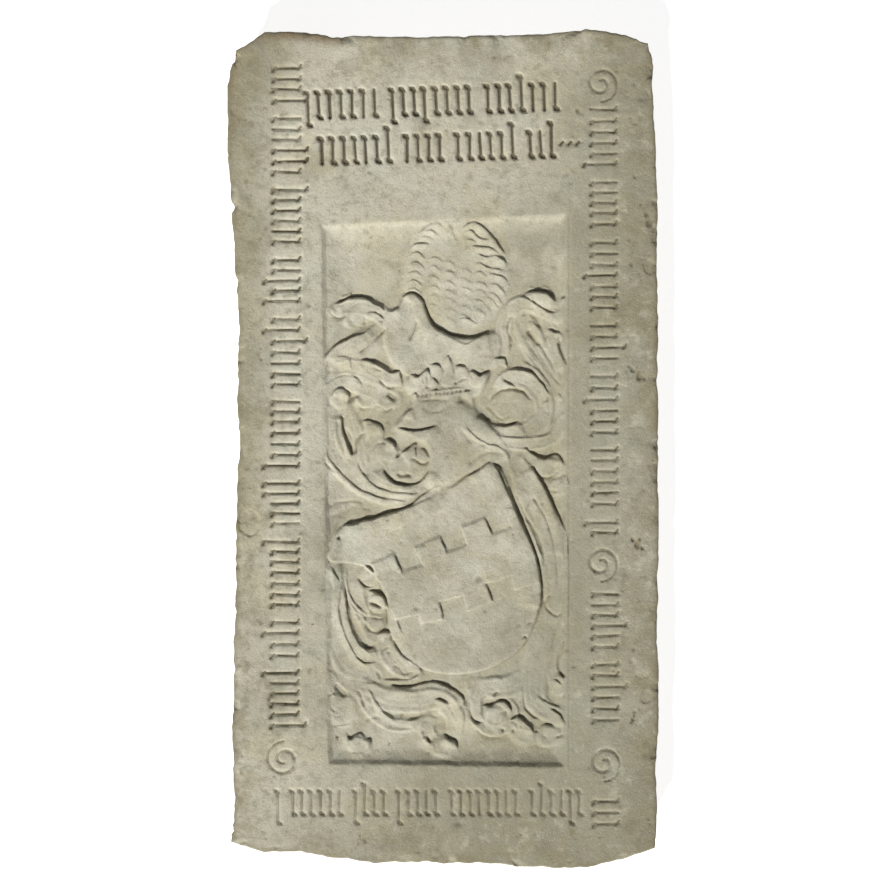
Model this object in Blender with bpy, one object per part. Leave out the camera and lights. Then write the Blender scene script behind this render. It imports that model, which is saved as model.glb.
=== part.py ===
"""A medieval grave slab: one block of limestone, carved on its upper face.

Metres, +Z out of the carved face, +Y towards the head of the slab. The slab lies on its flat back.
"""
import math
import random

import bmesh
import bpy
from mathutils import Matrix, Vector

CM = 0.01
MM = 0.001
WELD = 0.00005
CUTTER_RISE = 0.01

# The block
WIDTH = 1.08
LENGTH = 2.10
THICKNESS = 0.15
FACE_CHAMFER = 0.004
EDGE_STEP = 0.035
EDGE_ROUGHNESS = 0.0025

# Depth of stone lost along each side, at equal steps, in millimetres
LEFT_LOSS = (12, 18, 14, 15, 20, 25, 25, 30, 27, 30, 15, 14, 0, 0, 24)
RIGHT_LOSS = (10, 5, 5, 2, 5, 2, 0, 2, 2, 2, 5, 5, 7, 17, 15)
FOOT_LOSS = (65, 40, 43, 27, 18, 18, 10, 16, 6, 2, 2, 21, 52)
HEAD_LOSS = (52, 8, 8, 15, 18, 20, 20, 17, 17, 12, 0, 12, 28)

# The carver's centre point, measured from the middle of the block
CENTRE_X = 0.0025
CENTRE_Y = -0.00125

# The sunken panel, sides in centimetres from the carver's centre
RECESS_DEPTH = 0.018
RECESS_LEFT_TOP = -31.0
RECESS_LEFT_FOOT = -29.2
RECESS_RIGHT = 30.8
RECESS_TOP_LEFT = 56.2
RECESS_TOP_RIGHT = 59.0
RECESS_FOOT_LEFT = -79.0
RECESS_FOOT_RIGHT = -80.0
RECESS_WALL_SLOPE = 0.007

# Heights of the carving over the floor of the panel
ROOT = 0.003
LEAF_HEIGHT = 0.012
LOBE_HEIGHT = 0.012
SHIELD_HEIGHT = 0.011
BAR_HEIGHT = 0.0145
CAP_HEIGHT = 0.011
HELM_HEIGHT = 0.013
CROWN_HEIGHT = 0.0155
FAN_HEIGHT = 0.006
RIM_CHAMFER = 0.003

# Leaves: start x and y in cm, heading in degrees, length in cm, even bend, end curl, width in cm
LEAVES = (
    (-12.5, 30.0, 118, 19.5, 90, 5, 4.6),
    (-13.5, 30.5, 208, 20.0, 34, 0, 4.8),
    (-10.5, 16.8, 155, 18.0, 8, 0, 4.8),
    (-12.0, 11.5, 162, 22.5, 0, 105, 3.6),
    (-27.6, 10.0, 268, 34.0, 84, 0, 4.6),
    (-13.5, -7.2, 140, 16.0, -95, 0, 5.0),
    (14.5, 25.0, 98, 24.0, -140, 0, 4.2),
    (18.0, 33.5, -62, 23.0, -6, 0, 5.6),
    (24.3, 31.0, -28, 17.5, -58, 0, 3.0),
    (10.5, 13.5, 62, 38.0, -250, 0, 3.8),
    (4.5, 8.0, -50, 23.0, 46, 0, 3.2),
    (17.0, -1.5, -60, 46.0, -42, 0, 6.6),
    (25.8, -43.0, -114, 29.0, 18, 78, 6.2),
    (-26.3, -29.8, -93, 29.0, 30, 62, 2.6),
    (-22.2, -30.5, -93, 16.0, 48, 0, 4.2),
    (-16.0, -48.0, -66, 11.0, 30, 0, 4.6),
    (-23.5, -57.5, -28, 18.0, 22, 0, 5.8),
    (-10.0, -63.2, 24, 17.5, -118, 0, 4.6),
    (-21.0, -60.5, -66, 14.0, 42, 0, 3.4),
    (-13.0, -69.2, -6, 10.5, 48, 0, 2.8),
    (9.0, -58.0, -112, 27.0, 262, 0, 2.8),
    (20.5, -57.8, 196, 11.0, -10, 0, 4.0),
)
LEAF_STATIONS = 7
LEAF_FULLEST = 0.4
LEAF_ROOT_SHARE = 0.62
LEAF_TIP_SHARE = 0.22
LEAF_FLANK_SHARE = 0.45
LEAF_CROWN_SHARE = 0.55

# Heights fall by a small step from one leaf to the next, over and over, so no two neighbours are level
HEIGHT_STEP = 0.03
HEIGHT_CYCLE = 5

# Rounded leaf ends: x and y in cm, half width and half height in cm, turn in degrees
LOBES = (
    (-8.6, -4.0, 5.2, 4.4, 12),
    (-14.2, -1.6, 2.6, 2.2, 30),
    (17.6, 10.6, 4.4, 3.8, 20),
    (26.6, -4.6, 3.4, 2.3, -10),
    (28.3, -9.2, 2.2, 2.0, 0),
    (-17.9, -33.0, 2.8, 1.7, -25),
    (-16.9, -40.4, 2.5, 2.9, 15),
    (-17.3, -44.6, 2.2, 1.7, 0),
    (-25.2, -65.2, 3.6, 4.0, 0),
    (-21.3, -74.2, 3.0, 2.1, -12),
    (-0.7, -74.6, 3.3, 2.3, -12),
    (12.2, -67.0, 2.7, 2.4, 0),
    (19.4, -70.6, 3.7, 2.7, -35),
    (26.3, -72.2, 3.3, 2.6, 0),
)
DOME_SIDES = 10
DOME_RINGS = 6

# Shield outline, from the upper left corner round by the right, in cm
SHIELD = (
    (-25.0, -19.2), (-12.0, -15.8), (2.0, -9.5), (12.3, -3.4), (18.2, -15.0), (23.0, -27.0),
    (24.4, -37.0), (20.6, -48.0), (12.0, -54.6), (1.0, -56.4), (-8.6, -53.4), (-13.4, -46.0),
    (-15.0, -36.5), (-20.0, -29.6), (-28.4, -28.0), (-27.6, -23.4),
)

# Embattled bar across the shield
BAR_X = -15.6
BAR_Y = -37.6
BAR_TILT = 18.5
BAR_LENGTH = 38.6
BAR_WIDTH = 10.2
MERLON_COUNT = 3
MERLON_WIDTH = 6.1
MERLON_PITCH = 12.2
MERLON_RISE = 4.8
UPPER_MERLON_START = 0.12
LOWER_MERLON_START = 0.56
BAR_END = 0.4
SHORTEST_EDGE = 0.05

# Helm and cap outlines, in cm
HELM = (
    (-12.2, 5.4), (-10.2, 8.2), (-7.2, 11.6), (0.0, 12.6), (6.6, 12.0), (9.4, 8.4), (13.5, 4.0),
    (16.6, -1.0), (14.0, -3.4), (5.5, -6.6), (-3.4, -10.2), (-3.6, -4.0), (-4.4, 0.6), (-8.6, 3.4),
)
CAP = (
    (-15.2, 33.6), (-11.2, 35.7), (-10.2, 38.2), (-8.0, 39.1), (-5.4, 37.2), (-4.2, 33.8),
    (-2.4, 30.6), (1.5, 28.4), (6.5, 27.7), (12.4, 29.4), (14.4, 27.0), (12.6, 21.0), (6.0, 18.0),
    (-6.0, 17.6), (-12.4, 20.4), (-15.0, 26.5),
)
VISOR_WIDTH = 0.6
VISOR_DEPTH = 0.006
VISOR = (-12.6, 5.5, -20, 12.0, 42)

# Crown: band, then points standing on it
CROWN_X = 0.8
CROWN_Y = 13.2
CROWN_WIDTH = 15.6
CROWN_BAND = 2.4
CROWN_POINTS = 5
CROWN_RISE = 7.6
POINT_WIDTH = 3.5
POINT_SIDES = 8
POINT_LEAN = 14
POINT_STEP = 0.02
CROWN_ARCH = 0.16

# Fan of feathers
FAN_X = 3.0
FAN_Y = 43.0
FAN_HALF_WIDTH = 12.8
FAN_HALF_HEIGHT = 14.6
FEATHERS = 8
INNER_FEATHERS = 6
FEATHER_RADIUS = 3.4
FEATHER_RIDGE = 0.0022
FEATHER_STEPS = 4
FEATHER_WIDTH = 0.8
FEATHER_START = 125
FEATHER_SWEEP = 115
FEATHER_TIP_SHARE = 0.5
FAN_SIDES = 16
FAN_FULLEST = 0.78
FEATHER_INSET = 2.55
FIRST_FEATHER = 0.6
INNER_COLUMN_X = 3.9
INNER_COLUMN_SHARE = 0.86
FIRST_INNER_FEATHER = 0.9

# Rows of shallow strokes: start x and y in cm, heading in degrees, length in cm, stroke height in cm
ROWS = (
    (-34.0, 86.0, 2.1, 66.0, 6.4),
    (-30.5, 74.6, 1.8, 59.0, 6.2),
    (-40.0, -82.0, 89.7, 178.0, 6.4),
    (40.0, 96.0, -89.8, 191.0, 6.4),
    (34.0, -88.4, 180.0, 77.0, 6.2),
)
STROKE_PITCH = 3.15
STROKE_WIDTH = 1.1
STROKE_DEPTH = 0.0045
STROKE_POINT = 0.9
WORD_LENGTH = 7
TALL_EVERY = 5
TALL_RISE = 2.6

FACE = THICKNESS
FLOOR = THICKNESS - RECESS_DEPTH


def place(x, y, z=0.0):
    """A point given in cm from the carver's centre, as metres in the block's frame."""
    return Vector((x * CM + CENTRE_X, y * CM + CENTRE_Y, z))


def collection(name):
    group = bpy.data.collections.new(name)
    bpy.context.scene.collection.children.link(group)
    return group


def add_object(name, mesh, group):
    made = bpy.data.objects.new(name, mesh)
    group.objects.link(made)
    return made


def as_cutter(made):
    made.hide_render = True
    made.display_type = 'WIRE'
    return made


def mesh_from_curve(curve, name, group):
    """Turn a curve into a clean closed mesh object."""
    holder = bpy.data.objects.new(name + " line", curve)
    bpy.context.scene.collection.objects.link(holder)
    graph = bpy.context.evaluated_depsgraph_get()
    mesh = bpy.data.meshes.new_from_object(holder.evaluated_get(graph))
    bpy.data.objects.remove(holder)
    bpy.data.curves.remove(curve)
    mesh.name = name
    work = bmesh.new()
    work.from_mesh(mesh)
    bmesh.ops.remove_doubles(work, verts=work.verts, dist=WELD)
    bmesh.ops.recalc_face_normals(work, faces=work.faces)
    work.to_mesh(mesh)
    work.free()
    return add_object(name, mesh, group)


def plate(name, points, bottom, top, group, smooth=0, rim=0.0):
    """An outline in cm as an upright plate between two heights, with a chamfered upper rim."""
    curve = bpy.data.curves.new(name, 'CURVE')
    curve.dimensions = '2D'
    curve.fill_mode = 'BOTH'
    curve.extrude = (top - bottom) / 2
    kind = 'BEZIER' if smooth else 'POLY'
    spline = curve.splines.new(kind)
    spline.use_cyclic_u = True
    if smooth:
        curve.resolution_u = smooth
        spline.bezier_points.add(len(points) - 1)
        for knot, (x, y) in zip(spline.bezier_points, points):
            knot.co = place(x, y)
            knot.handle_left_type = 'AUTO'
            knot.handle_right_type = 'AUTO'
    else:
        spline.points.add(len(points) - 1)
        for knot, (x, y) in zip(spline.points, points):
            knot.co = (*place(x, y), 1.0)
    made = mesh_from_curve(curve, name, group)
    made.data.transform(Matrix.Translation((0, 0, (top + bottom) / 2)))
    if rim > 0:
        chamfer_rim(made.data, top, rim)
    return made


def chamfer_rim(mesh, level, size):
    """Chamfer the edges between the level top and the upright sides."""
    work = bmesh.new()
    work.from_mesh(mesh)
    rim = []
    for edge in work.edges:
        high = all(abs(vert.co.z - level) < 1e-5 for vert in edge.verts)
        turned = any(abs(face.normal.z) < 0.5 for face in edge.link_faces)
        if high and turned:
            rim.append(edge)
    bmesh.ops.bevel(
        work, geom=rim, offset=size, segments=1, profile=0.5, affect='EDGES', material=-1
    )
    work.to_mesh(mesh)
    work.free()


def sweep_points(x, y, heading, length, bend, curl, steps):
    """Points in cm along a line that bends evenly and curls more and more towards its end."""
    points = [(x, y)]
    for step in range(steps):
        share = (step + 0.5) / steps
        turn = math.radians(heading + bend * share + curl * share ** 3)
        x += math.cos(turn) * length / steps
        y += math.sin(turn) * length / steps
        points.append((x, y))
    return points


def leaf_profile(width, root, height):
    """Cross-section of a leaf: broad foot, sloping flanks and a flat crown."""
    profile = bpy.data.curves.new("leaf profile", 'CURVE')
    profile.dimensions = '2D'
    spline = profile.splines.new('POLY')
    spline.use_cyclic_u = True
    half = width * CM / 2
    corners = (
        (-half, -root), (half, -root), (half, height * LEAF_FLANK_SHARE),
        (half * LEAF_CROWN_SHARE, height), (-half * LEAF_CROWN_SHARE, height),
        (-half, height * LEAF_FLANK_SHARE),
    )
    spline.points.add(len(corners) - 1)
    for knot, (across, up) in zip(spline.points, corners):
        knot.co = (across, up, 0, 1)
    return bpy.data.objects.new("leaf profile", profile)


def ribbon(name, line, shares, width, root, height, level, group):
    """A leaf body along a line in cm, its size following the given shares of the full profile."""
    profile = leaf_profile(width, root, height)
    curve = bpy.data.curves.new(name, 'CURVE')
    curve.dimensions = '3D'
    curve.twist_mode = 'Z_UP'
    curve.bevel_mode = 'OBJECT'
    curve.bevel_object = profile
    curve.use_fill_caps = True
    spline = curve.splines.new('POLY')
    spline.points.add(len(line) - 1)
    for knot, (x, y), share in zip(spline.points, line, shares):
        knot.co = (*place(x, y, level), 1.0)
        knot.radius = share
    made = mesh_from_curve(curve, name, group)
    bpy.data.objects.remove(profile)
    return made


def leaf_shares(count):
    """Narrow at the root, full at two fifths, drawn out to a slim tip."""
    shares = []
    for index in range(count):
        along = index / (count - 1)
        if along < LEAF_FULLEST:
            rise = math.sin(along / LEAF_FULLEST * math.pi / 2)
            shares.append(LEAF_ROOT_SHARE + (1 - LEAF_ROOT_SHARE) * rise)
        else:
            fall = math.cos((along - LEAF_FULLEST) / (1 - LEAF_FULLEST) * math.pi / 2)
            shares.append(LEAF_TIP_SHARE + (1 - LEAF_TIP_SHARE) * fall)
    return shares


def dome(name, x, y, half_width, half_height, rise, turn, group, sides=DOME_SIDES):
    """A low rounded form, half sunk in the floor of the panel."""
    mesh = bpy.data.meshes.new(name)
    work = bmesh.new()
    bmesh.ops.create_uvsphere(work, u_segments=sides, v_segments=DOME_RINGS, radius=1.0)
    size = Matrix.Diagonal((half_width * CM, half_height * CM, rise, 1.0))
    spin = Matrix.Rotation(math.radians(turn), 4, 'Z')
    move = Matrix.Translation(place(x, y, FLOOR))
    bmesh.ops.transform(work, matrix=move @ spin @ size, verts=work.verts)
    work.to_mesh(mesh)
    work.free()
    return add_object(name, mesh, group)


def loss(values, share):
    """Loss of stone in metres at a share of the side's length."""
    spot = min(max(share, 0.0), 1.0) * (len(values) - 1)
    low = min(int(spot), len(values) - 2)
    part = spot - low
    return (values[low] * (1 - part) + values[low + 1] * part) * MM


def side_points(values, half_run, half_out, chance):
    """Points (along, out) of one side, from its start to its end."""
    count = max(4, int(2 * half_run / EDGE_STEP))
    points = []
    for index in range(count + 1):
        along = -half_run + 2 * half_run * index / count
        out = half_out - loss(values, index / count)
        rough = 0.0 if index in (0, count) else chance.uniform(0, EDGE_ROUGHNESS)
        points.append((along, out - rough))
    return points


def clip_side(points, start_limit, end_limit):
    """Keep the points of a side that lie between its two corners."""
    return [point for point in points if start_limit < point[0] < end_limit]


def block_outline():
    """The broken outline, counterclockwise from the foot's left corner, in metres."""
    chance = random.Random(11)
    half_x = WIDTH / 2
    half_y = LENGTH / 2
    foot = side_points(FOOT_LOSS, half_x, half_y, chance)
    right = side_points(RIGHT_LOSS, half_y, half_x, chance)
    head = side_points(HEAD_LOSS, half_x, half_y, chance)
    left = side_points(LEFT_LOSS, half_y, half_x, chance)
    foot = clip_side(foot, -left[1][1], right[1][1])
    head = clip_side(head, -left[-2][1], right[-2][1])
    right = clip_side(right, -foot[-1][1], head[-1][1])
    left = clip_side(left, -foot[0][1], head[0][1])
    outline = [Vector((along, -out)) for along, out in foot]
    outline += [Vector((out, along)) for along, out in right]
    outline += [Vector((along, out)) for along, out in reversed(head)]
    outline += [Vector((-out, along)) for along, out in reversed(left)]
    return stretch(outline, half_x, half_y)


def stretch(outline, half_x, half_y):
    """Bring the outline to the full width and length of the block."""
    low_x = min(point.x for point in outline)
    high_x = max(point.x for point in outline)
    low_y = min(point.y for point in outline)
    high_y = max(point.y for point in outline)
    fitted = []
    for point in outline:
        across = (point.x - low_x) / (high_x - low_x)
        along = (point.y - low_y) / (high_y - low_y)
        fitted.append(((across * 2 - 1) * half_x, (along * 2 - 1) * half_y))
    return fitted


def make_block(group):
    outline = []
    for x, y in block_outline():
        outline.append(((x - CENTRE_X) / CM, (y - CENTRE_Y) / CM))
    return plate("slab", outline, 0.0, THICKNESS, group, rim=FACE_CHAMFER)


def make_recess(group):
    """A tapered block that sinks the panel, wider at the face than at the floor."""
    corners = (
        (RECESS_LEFT_FOOT, RECESS_FOOT_LEFT), (RECESS_RIGHT, RECESS_FOOT_RIGHT),
        (RECESS_RIGHT, RECESS_TOP_RIGHT), (RECESS_LEFT_TOP, RECESS_TOP_LEFT),
    )
    made = plate("Recess cutter", corners, FLOOR, FACE + CUTTER_RISE, group)
    middle = Vector((CENTRE_X, CENTRE_Y, 0))
    for vert in made.data.vertices:
        if vert.co.z < FACE:
            offset = vert.co - middle
            vert.co.x -= math.copysign(RECESS_WALL_SLOPE, offset.x)
            vert.co.y -= math.copysign(RECESS_WALL_SLOPE, offset.y)
    return as_cutter(made)


def make_leaves(group):
    shares = leaf_shares(LEAF_STATIONS + 1)
    for number, (x, y, heading, length, bend, curl, width) in enumerate(LEAVES):
        line = sweep_points(x, y, heading, length, bend, curl, LEAF_STATIONS)
        height = LEAF_HEIGHT * (1 - HEIGHT_STEP * (number % HEIGHT_CYCLE))
        ribbon(f"Leaf {number}", line, shares, width, ROOT, height, FLOOR, group)
    for number, (x, y, half_width, half_height, turn) in enumerate(LOBES):
        rise = LOBE_HEIGHT * (1 - HEIGHT_STEP * (number % HEIGHT_CYCLE))
        dome(f"Lobe {number}", x, y, half_width, half_height, rise, turn, group)


def bar_outline():
    """Embattled bar: merlons on both edges, the lower ones set half a pitch along."""
    half = BAR_WIDTH / 2
    upper = [(0.0, half)]
    lower = [(0.0, -half)]
    for index in range(MERLON_COUNT):
        start = (index + UPPER_MERLON_START) * MERLON_PITCH
        end = start + MERLON_WIDTH
        upper += [(start, half), (start, half + MERLON_RISE)]
        upper += [(end, half + MERLON_RISE), (end, half)]
        start = (index + LOWER_MERLON_START) * MERLON_PITCH
        end = min(start + MERLON_WIDTH, BAR_LENGTH - BAR_END)
        lower += [(start, -half), (start, -half - MERLON_RISE)]
        lower += [(end, -half - MERLON_RISE), (end, -half)]
    upper.append((BAR_LENGTH, half))
    lower.append((BAR_LENGTH, -half))
    tilt = math.radians(BAR_TILT)
    outline = []
    for along, across in lower + upper[::-1]:
        x = BAR_X + along * math.cos(tilt) - across * math.sin(tilt)
        y = BAR_Y + along * math.sin(tilt) + across * math.cos(tilt)
        if not outline or math.dist(outline[-1], (x, y)) > SHORTEST_EDGE:
            outline.append((x, y))
    return outline


def make_arms(group):
    plate("Shield", SHIELD, FLOOR - ROOT, FLOOR + SHIELD_HEIGHT, group, 3, RIM_CHAMFER)
    plate("Bar", bar_outline(), FLOOR - ROOT, FLOOR + BAR_HEIGHT, group)
    plate("Cap", CAP, FLOOR - ROOT, FLOOR + CAP_HEIGHT, group, 2, RIM_CHAMFER)
    plate("Helm", HELM, FLOOR - ROOT, FLOOR + HELM_HEIGHT, group, 3, RIM_CHAMFER)


def make_crown(group):
    half_width = CROWN_WIDTH / 2
    half_band = CROWN_BAND / 2
    band = (
        (CROWN_X - half_width, CROWN_Y - half_band), (CROWN_X + half_width, CROWN_Y - half_band),
        (CROWN_X + half_width, CROWN_Y + half_band), (CROWN_X - half_width, CROWN_Y + half_band),
    )
    top = FLOOR + CROWN_HEIGHT
    plate("Crown band", band, FLOOR - ROOT, top, group, rim=RIM_CHAMFER)
    for index in range(CROWN_POINTS):
        share = index / (CROWN_POINTS - 1) * 2 - 1
        x = CROWN_X + share * (half_width - POINT_WIDTH / 2)
        half_height = CROWN_RISE / 2
        y = CROWN_Y + half_band + half_height * (1 - CROWN_ARCH * abs(share))
        rise = CROWN_HEIGHT * (1 - POINT_STEP * (2 + index % 2))
        dome(
            f"Crown point {index}", x, y, POINT_WIDTH / 2, half_height, rise,
            -POINT_LEAN * share, group, POINT_SIDES
        )


def make_fan(group):
    """A low egg-shaped fan with an outer and an inner column of feather edges on each side."""
    dome("Fan", FAN_X, FAN_Y, FAN_HALF_WIDTH, FAN_HALF_HEIGHT, FAN_HEIGHT, 0, group, FAN_SIDES)
    run = FAN_HALF_HEIGHT - FEATHER_RADIUS
    for side in (-1, 1):
        for index in range(FEATHERS):
            share = (index + FIRST_FEATHER) / FEATHERS
            reach = FAN_HALF_WIDTH * math.sin(math.pi * min(share, FAN_FULLEST))
            x = FAN_X + side * (reach - FEATHER_INSET)
            y = FAN_Y + run * math.cos(math.pi * share)
            add_feather(f"Feather {side} {index}", x, y, side, group)
        for index in range(INNER_FEATHERS):
            share = (index + FIRST_INNER_FEATHER) / (INNER_FEATHERS + FIRST_FEATHER)
            x = FAN_X + side * INNER_COLUMN_X
            y = FAN_Y + run * math.cos(math.pi * share) * INNER_COLUMN_SHARE
            add_feather(f"Inner feather {side} {index}", x, y, side, group)


def add_feather(name, x, y, side, group):
    """The drooping edge of one feather, a low ridge bent outward and down."""
    line = []
    for step in range(FEATHER_STEPS + 1):
        turn = math.radians(FEATHER_START - FEATHER_SWEEP * step / FEATHER_STEPS)
        across = side * FEATHER_RADIUS * math.cos(turn)
        line.append((x + across, y + FEATHER_RADIUS * math.sin(turn)))
    shares = [FEATHER_TIP_SHARE] + [1.0] * (FEATHER_STEPS - 1) + [FEATHER_TIP_SHARE]
    rise = FAN_HEIGHT + FEATHER_RIDGE
    ribbon(name, line, shares, FEATHER_WIDTH, ROOT, rise, FLOOR, group)


def make_visor(group):
    """The eye slit under the beak of the helm, cut as a narrow bent groove."""
    x, y, heading, length, bend = VISOR
    line = sweep_points(x, y, heading, length, bend, 0, LEAF_STATIONS)
    shares = [1.0] * len(line)
    level = FLOOR + HELM_HEIGHT - VISOR_DEPTH
    rise = 2 * CUTTER_RISE
    made = ribbon("Visor cutter", line, shares, VISOR_WIDTH, 0.0, rise, level, group)
    return as_cutter(made)


def stroke_body(work, x, y, heading, size):
    """One V-cut stroke across the heading of its row, pointed at both ends."""
    half_length = size * CM / 2
    shoulder = half_length - STROKE_POINT * CM
    above = STROKE_DEPTH
    half_width = STROKE_WIDTH * CM / 2 * (STROKE_DEPTH + above) / STROKE_DEPTH
    made = bmesh.ops.create_cone(
        work, cap_ends=True, segments=6, radius1=1.0, radius2=1.0, depth=1.0
    )
    verts = made["verts"]
    for vert in verts:
        turn = math.atan2(vert.co.x, vert.co.y)
        tip = abs(math.cos(turn)) > 0.9
        end = math.copysign(1, math.cos(turn))
        side = math.copysign(1, math.sin(turn))
        if vert.co.z < 0:
            vert.co = Vector((0, end * shoulder, -STROKE_DEPTH))
        elif tip:
            vert.co = Vector((0, end * (2 * half_length - shoulder), above))
        else:
            vert.co = Vector((side * half_width, end * shoulder, above))
    bmesh.ops.remove_doubles(work, verts=verts, dist=WELD)
    verts = [vert for vert in verts if vert.is_valid]
    turn = Matrix.Rotation(math.radians(heading), 4, 'Z')
    move = Matrix.Translation(place(x, y, FACE))
    bmesh.ops.transform(work, matrix=move @ turn, verts=verts)


def make_strokes(group):
    """Rows of shallow strokes round the border, in words of a few strokes each."""
    mesh = bpy.data.meshes.new("Stroke cutters")
    work = bmesh.new()
    for x, y, heading, length, size in ROWS:
        turn = math.radians(heading)
        for index in range(int(length / STROKE_PITCH) + 1):
            if index % (WORD_LENGTH + 1) == WORD_LENGTH:
                continue
            tall = TALL_RISE if index % TALL_EVERY == 2 else 0.0
            along = index * STROKE_PITCH
            spot_x = x + math.cos(turn) * along - math.sin(turn) * tall / 2
            spot_y = y + math.sin(turn) * along + math.cos(turn) * tall / 2
            stroke_body(work, spot_x, spot_y, heading, size + tall)
    bmesh.ops.recalc_face_normals(work, faces=work.faces)
    work.to_mesh(mesh)
    work.free()
    return as_cutter(add_object("Stroke cutters", mesh, group))


def stone_material():
    stone = bpy.data.materials.new("Pale limestone")
    stone.use_nodes = True
    shader = stone.node_tree.nodes["Principled BSDF"]
    shader.inputs["Base Color"].default_value = (0.42, 0.39, 0.29, 1.0)
    shader.inputs["Roughness"].default_value = 0.88
    return stone


def carve(block, name, operation, tool):
    step = block.modifiers.new(name, 'BOOLEAN')
    step.operation = operation
    step.solver = 'EXACT'
    if isinstance(tool, bpy.types.Collection):
        step.operand_type = 'COLLECTION'
        step.collection = tool
    else:
        step.object = tool


for old in list(bpy.data.objects):
    bpy.data.objects.remove(old)

slab_parts = collection("Grave slab")
relief = collection("Relief")
cutters = collection("Cutters")

slab = make_block(slab_parts)
recess = make_recess(cutters)
make_arms(relief)
make_leaves(relief)
make_crown(relief)
make_fan(relief)
for form in relief.objects:
    as_cutter(form)
visor = make_visor(cutters)
strokes = make_strokes(cutters)

carve(slab, "Sink the panel", 'DIFFERENCE', recess)
carve(slab, "Relief", 'UNION', relief)
carve(slab, "Eye slit", 'DIFFERENCE', visor)
carve(slab, "Strokes", 'DIFFERENCE', strokes)

slab.data.materials.append(stone_material())
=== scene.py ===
# %% [markdown]
# # A medieval grave slab
# One thick block of pale limestone lies on its back. Its face has a sunken panel with a coat of
# arms in low relief, and rows of shallow strokes run round the border. The block was carved from
# one stone, so it is one mesh here too. The relief is worked out as a height field: a grid of
# heights that every form raises or lowers in turn, much as a carver works down from a flat face.

# %% Load the frame
import math

import bmesh
import bpy
import numpy as np
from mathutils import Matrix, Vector


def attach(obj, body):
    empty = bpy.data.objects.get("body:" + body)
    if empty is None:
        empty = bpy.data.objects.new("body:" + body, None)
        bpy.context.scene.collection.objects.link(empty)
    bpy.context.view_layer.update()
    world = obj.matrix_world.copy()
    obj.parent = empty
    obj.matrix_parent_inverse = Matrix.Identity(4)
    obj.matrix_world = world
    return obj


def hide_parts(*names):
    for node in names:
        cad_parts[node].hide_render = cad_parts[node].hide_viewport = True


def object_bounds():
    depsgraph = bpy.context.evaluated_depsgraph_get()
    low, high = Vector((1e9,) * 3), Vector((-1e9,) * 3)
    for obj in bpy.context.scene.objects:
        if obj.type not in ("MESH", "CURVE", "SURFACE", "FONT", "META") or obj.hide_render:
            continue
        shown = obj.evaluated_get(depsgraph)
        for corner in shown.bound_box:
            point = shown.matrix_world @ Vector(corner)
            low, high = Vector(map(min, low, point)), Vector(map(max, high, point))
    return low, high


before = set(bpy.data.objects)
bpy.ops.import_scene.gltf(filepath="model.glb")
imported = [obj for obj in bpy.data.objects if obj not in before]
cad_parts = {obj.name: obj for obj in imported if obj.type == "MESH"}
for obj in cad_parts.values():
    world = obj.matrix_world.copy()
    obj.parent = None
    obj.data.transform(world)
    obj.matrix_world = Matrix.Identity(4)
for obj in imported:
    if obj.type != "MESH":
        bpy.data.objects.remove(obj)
cad_low, cad_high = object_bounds()
print("block", [round(side, 3) for side in cad_high - cad_low])

# %% [markdown]
# ## The grid of heights
# All carving is set out in centimetres from the carver's centre point, which lies a little off the
# middle of the block. Heights are in millimetres, zero at the flat face. A regular grid finer than
# the carving holds them, so blurring and noise are simple array work.

# %% Sizes of the block and its grid
WIDTH = 108.0
LENGTH = 210.0
HALF_WIDTH = WIDTH / 2
HALF_LENGTH = LENGTH / 2
CENTRE_X = 0.25
CENTRE_Y = -0.125
CELL = 0.21

columns = int(WIDTH / CELL) + 1
rows = int(LENGTH / CELL) + 1
xs = np.linspace(-HALF_WIDTH, HALF_WIDTH, columns) - CENTRE_X
ys = np.linspace(-HALF_LENGTH, HALF_LENGTH, rows) - CENTRE_Y
grid_x, grid_y = np.meshgrid(xs, ys)
print("grid", columns, "x", rows)


# %% Smooth steps, blur and noise
def ease(value):
    """A smooth ramp from 0 to 1."""
    held = np.clip(value, 0.0, 1.0)
    return held * held * (3 - 2 * held)


def blur(field, radius):
    """Gaussian blur by a radius in centimetres."""
    pad = int(4 * radius / CELL) + 4
    wide = np.pad(field, pad, mode="edge")
    wave_y = np.fft.fftfreq(wide.shape[0])[:, None]
    wave_x = np.fft.rfftfreq(wide.shape[1])[None, :]
    sigma = radius / CELL
    keep = np.exp(-2 * (math.pi * sigma) ** 2 * (wave_x ** 2 + wave_y ** 2))
    soft = np.fft.irfft2(np.fft.rfft2(wide) * keep, s=wide.shape)
    return soft[pad:-pad, pad:-pad]


def soft_noise(size, seed):
    """Smooth noise of about -1 to 1 whose blobs are as wide as size, in centimetres."""
    coarse = max(CELL, size / 5)
    chance = np.random.default_rng(seed)
    across = int(WIDTH / coarse) + 8
    along = int(LENGTH / coarse) + 8
    wave_y = np.fft.fftfreq(along)[:, None]
    wave_x = np.fft.rfftfreq(across)[None, :]
    sigma = 0.4 * size / coarse
    keep = np.exp(-2 * (math.pi * sigma) ** 2 * (wave_x ** 2 + wave_y ** 2))
    white = chance.standard_normal((along, across))
    field = np.fft.irfft2(np.fft.rfft2(white) * keep, s=white.shape)
    field /= field.std() * 2
    column = (grid_x + HALF_WIDTH) / coarse + 2
    row = (grid_y + HALF_LENGTH) / coarse + 2
    return look_up(field, column, row)


def look_up(field, column, row):
    """Value between the points of a field, by bilinear mixing."""
    column = np.clip(column, 0, field.shape[1] - 1.001)
    row = np.clip(row, 0, field.shape[0] - 1.001)
    left = column.astype(int)
    below = row.astype(int)
    right_part = column - left
    upper_part = row - below
    lower = field[below, left] * (1 - right_part) + field[below, left + 1] * right_part
    upper = field[below + 1, left] * (1 - right_part) + field[below + 1, left + 1] * right_part
    return lower * (1 - upper_part) + upper * upper_part


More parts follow.
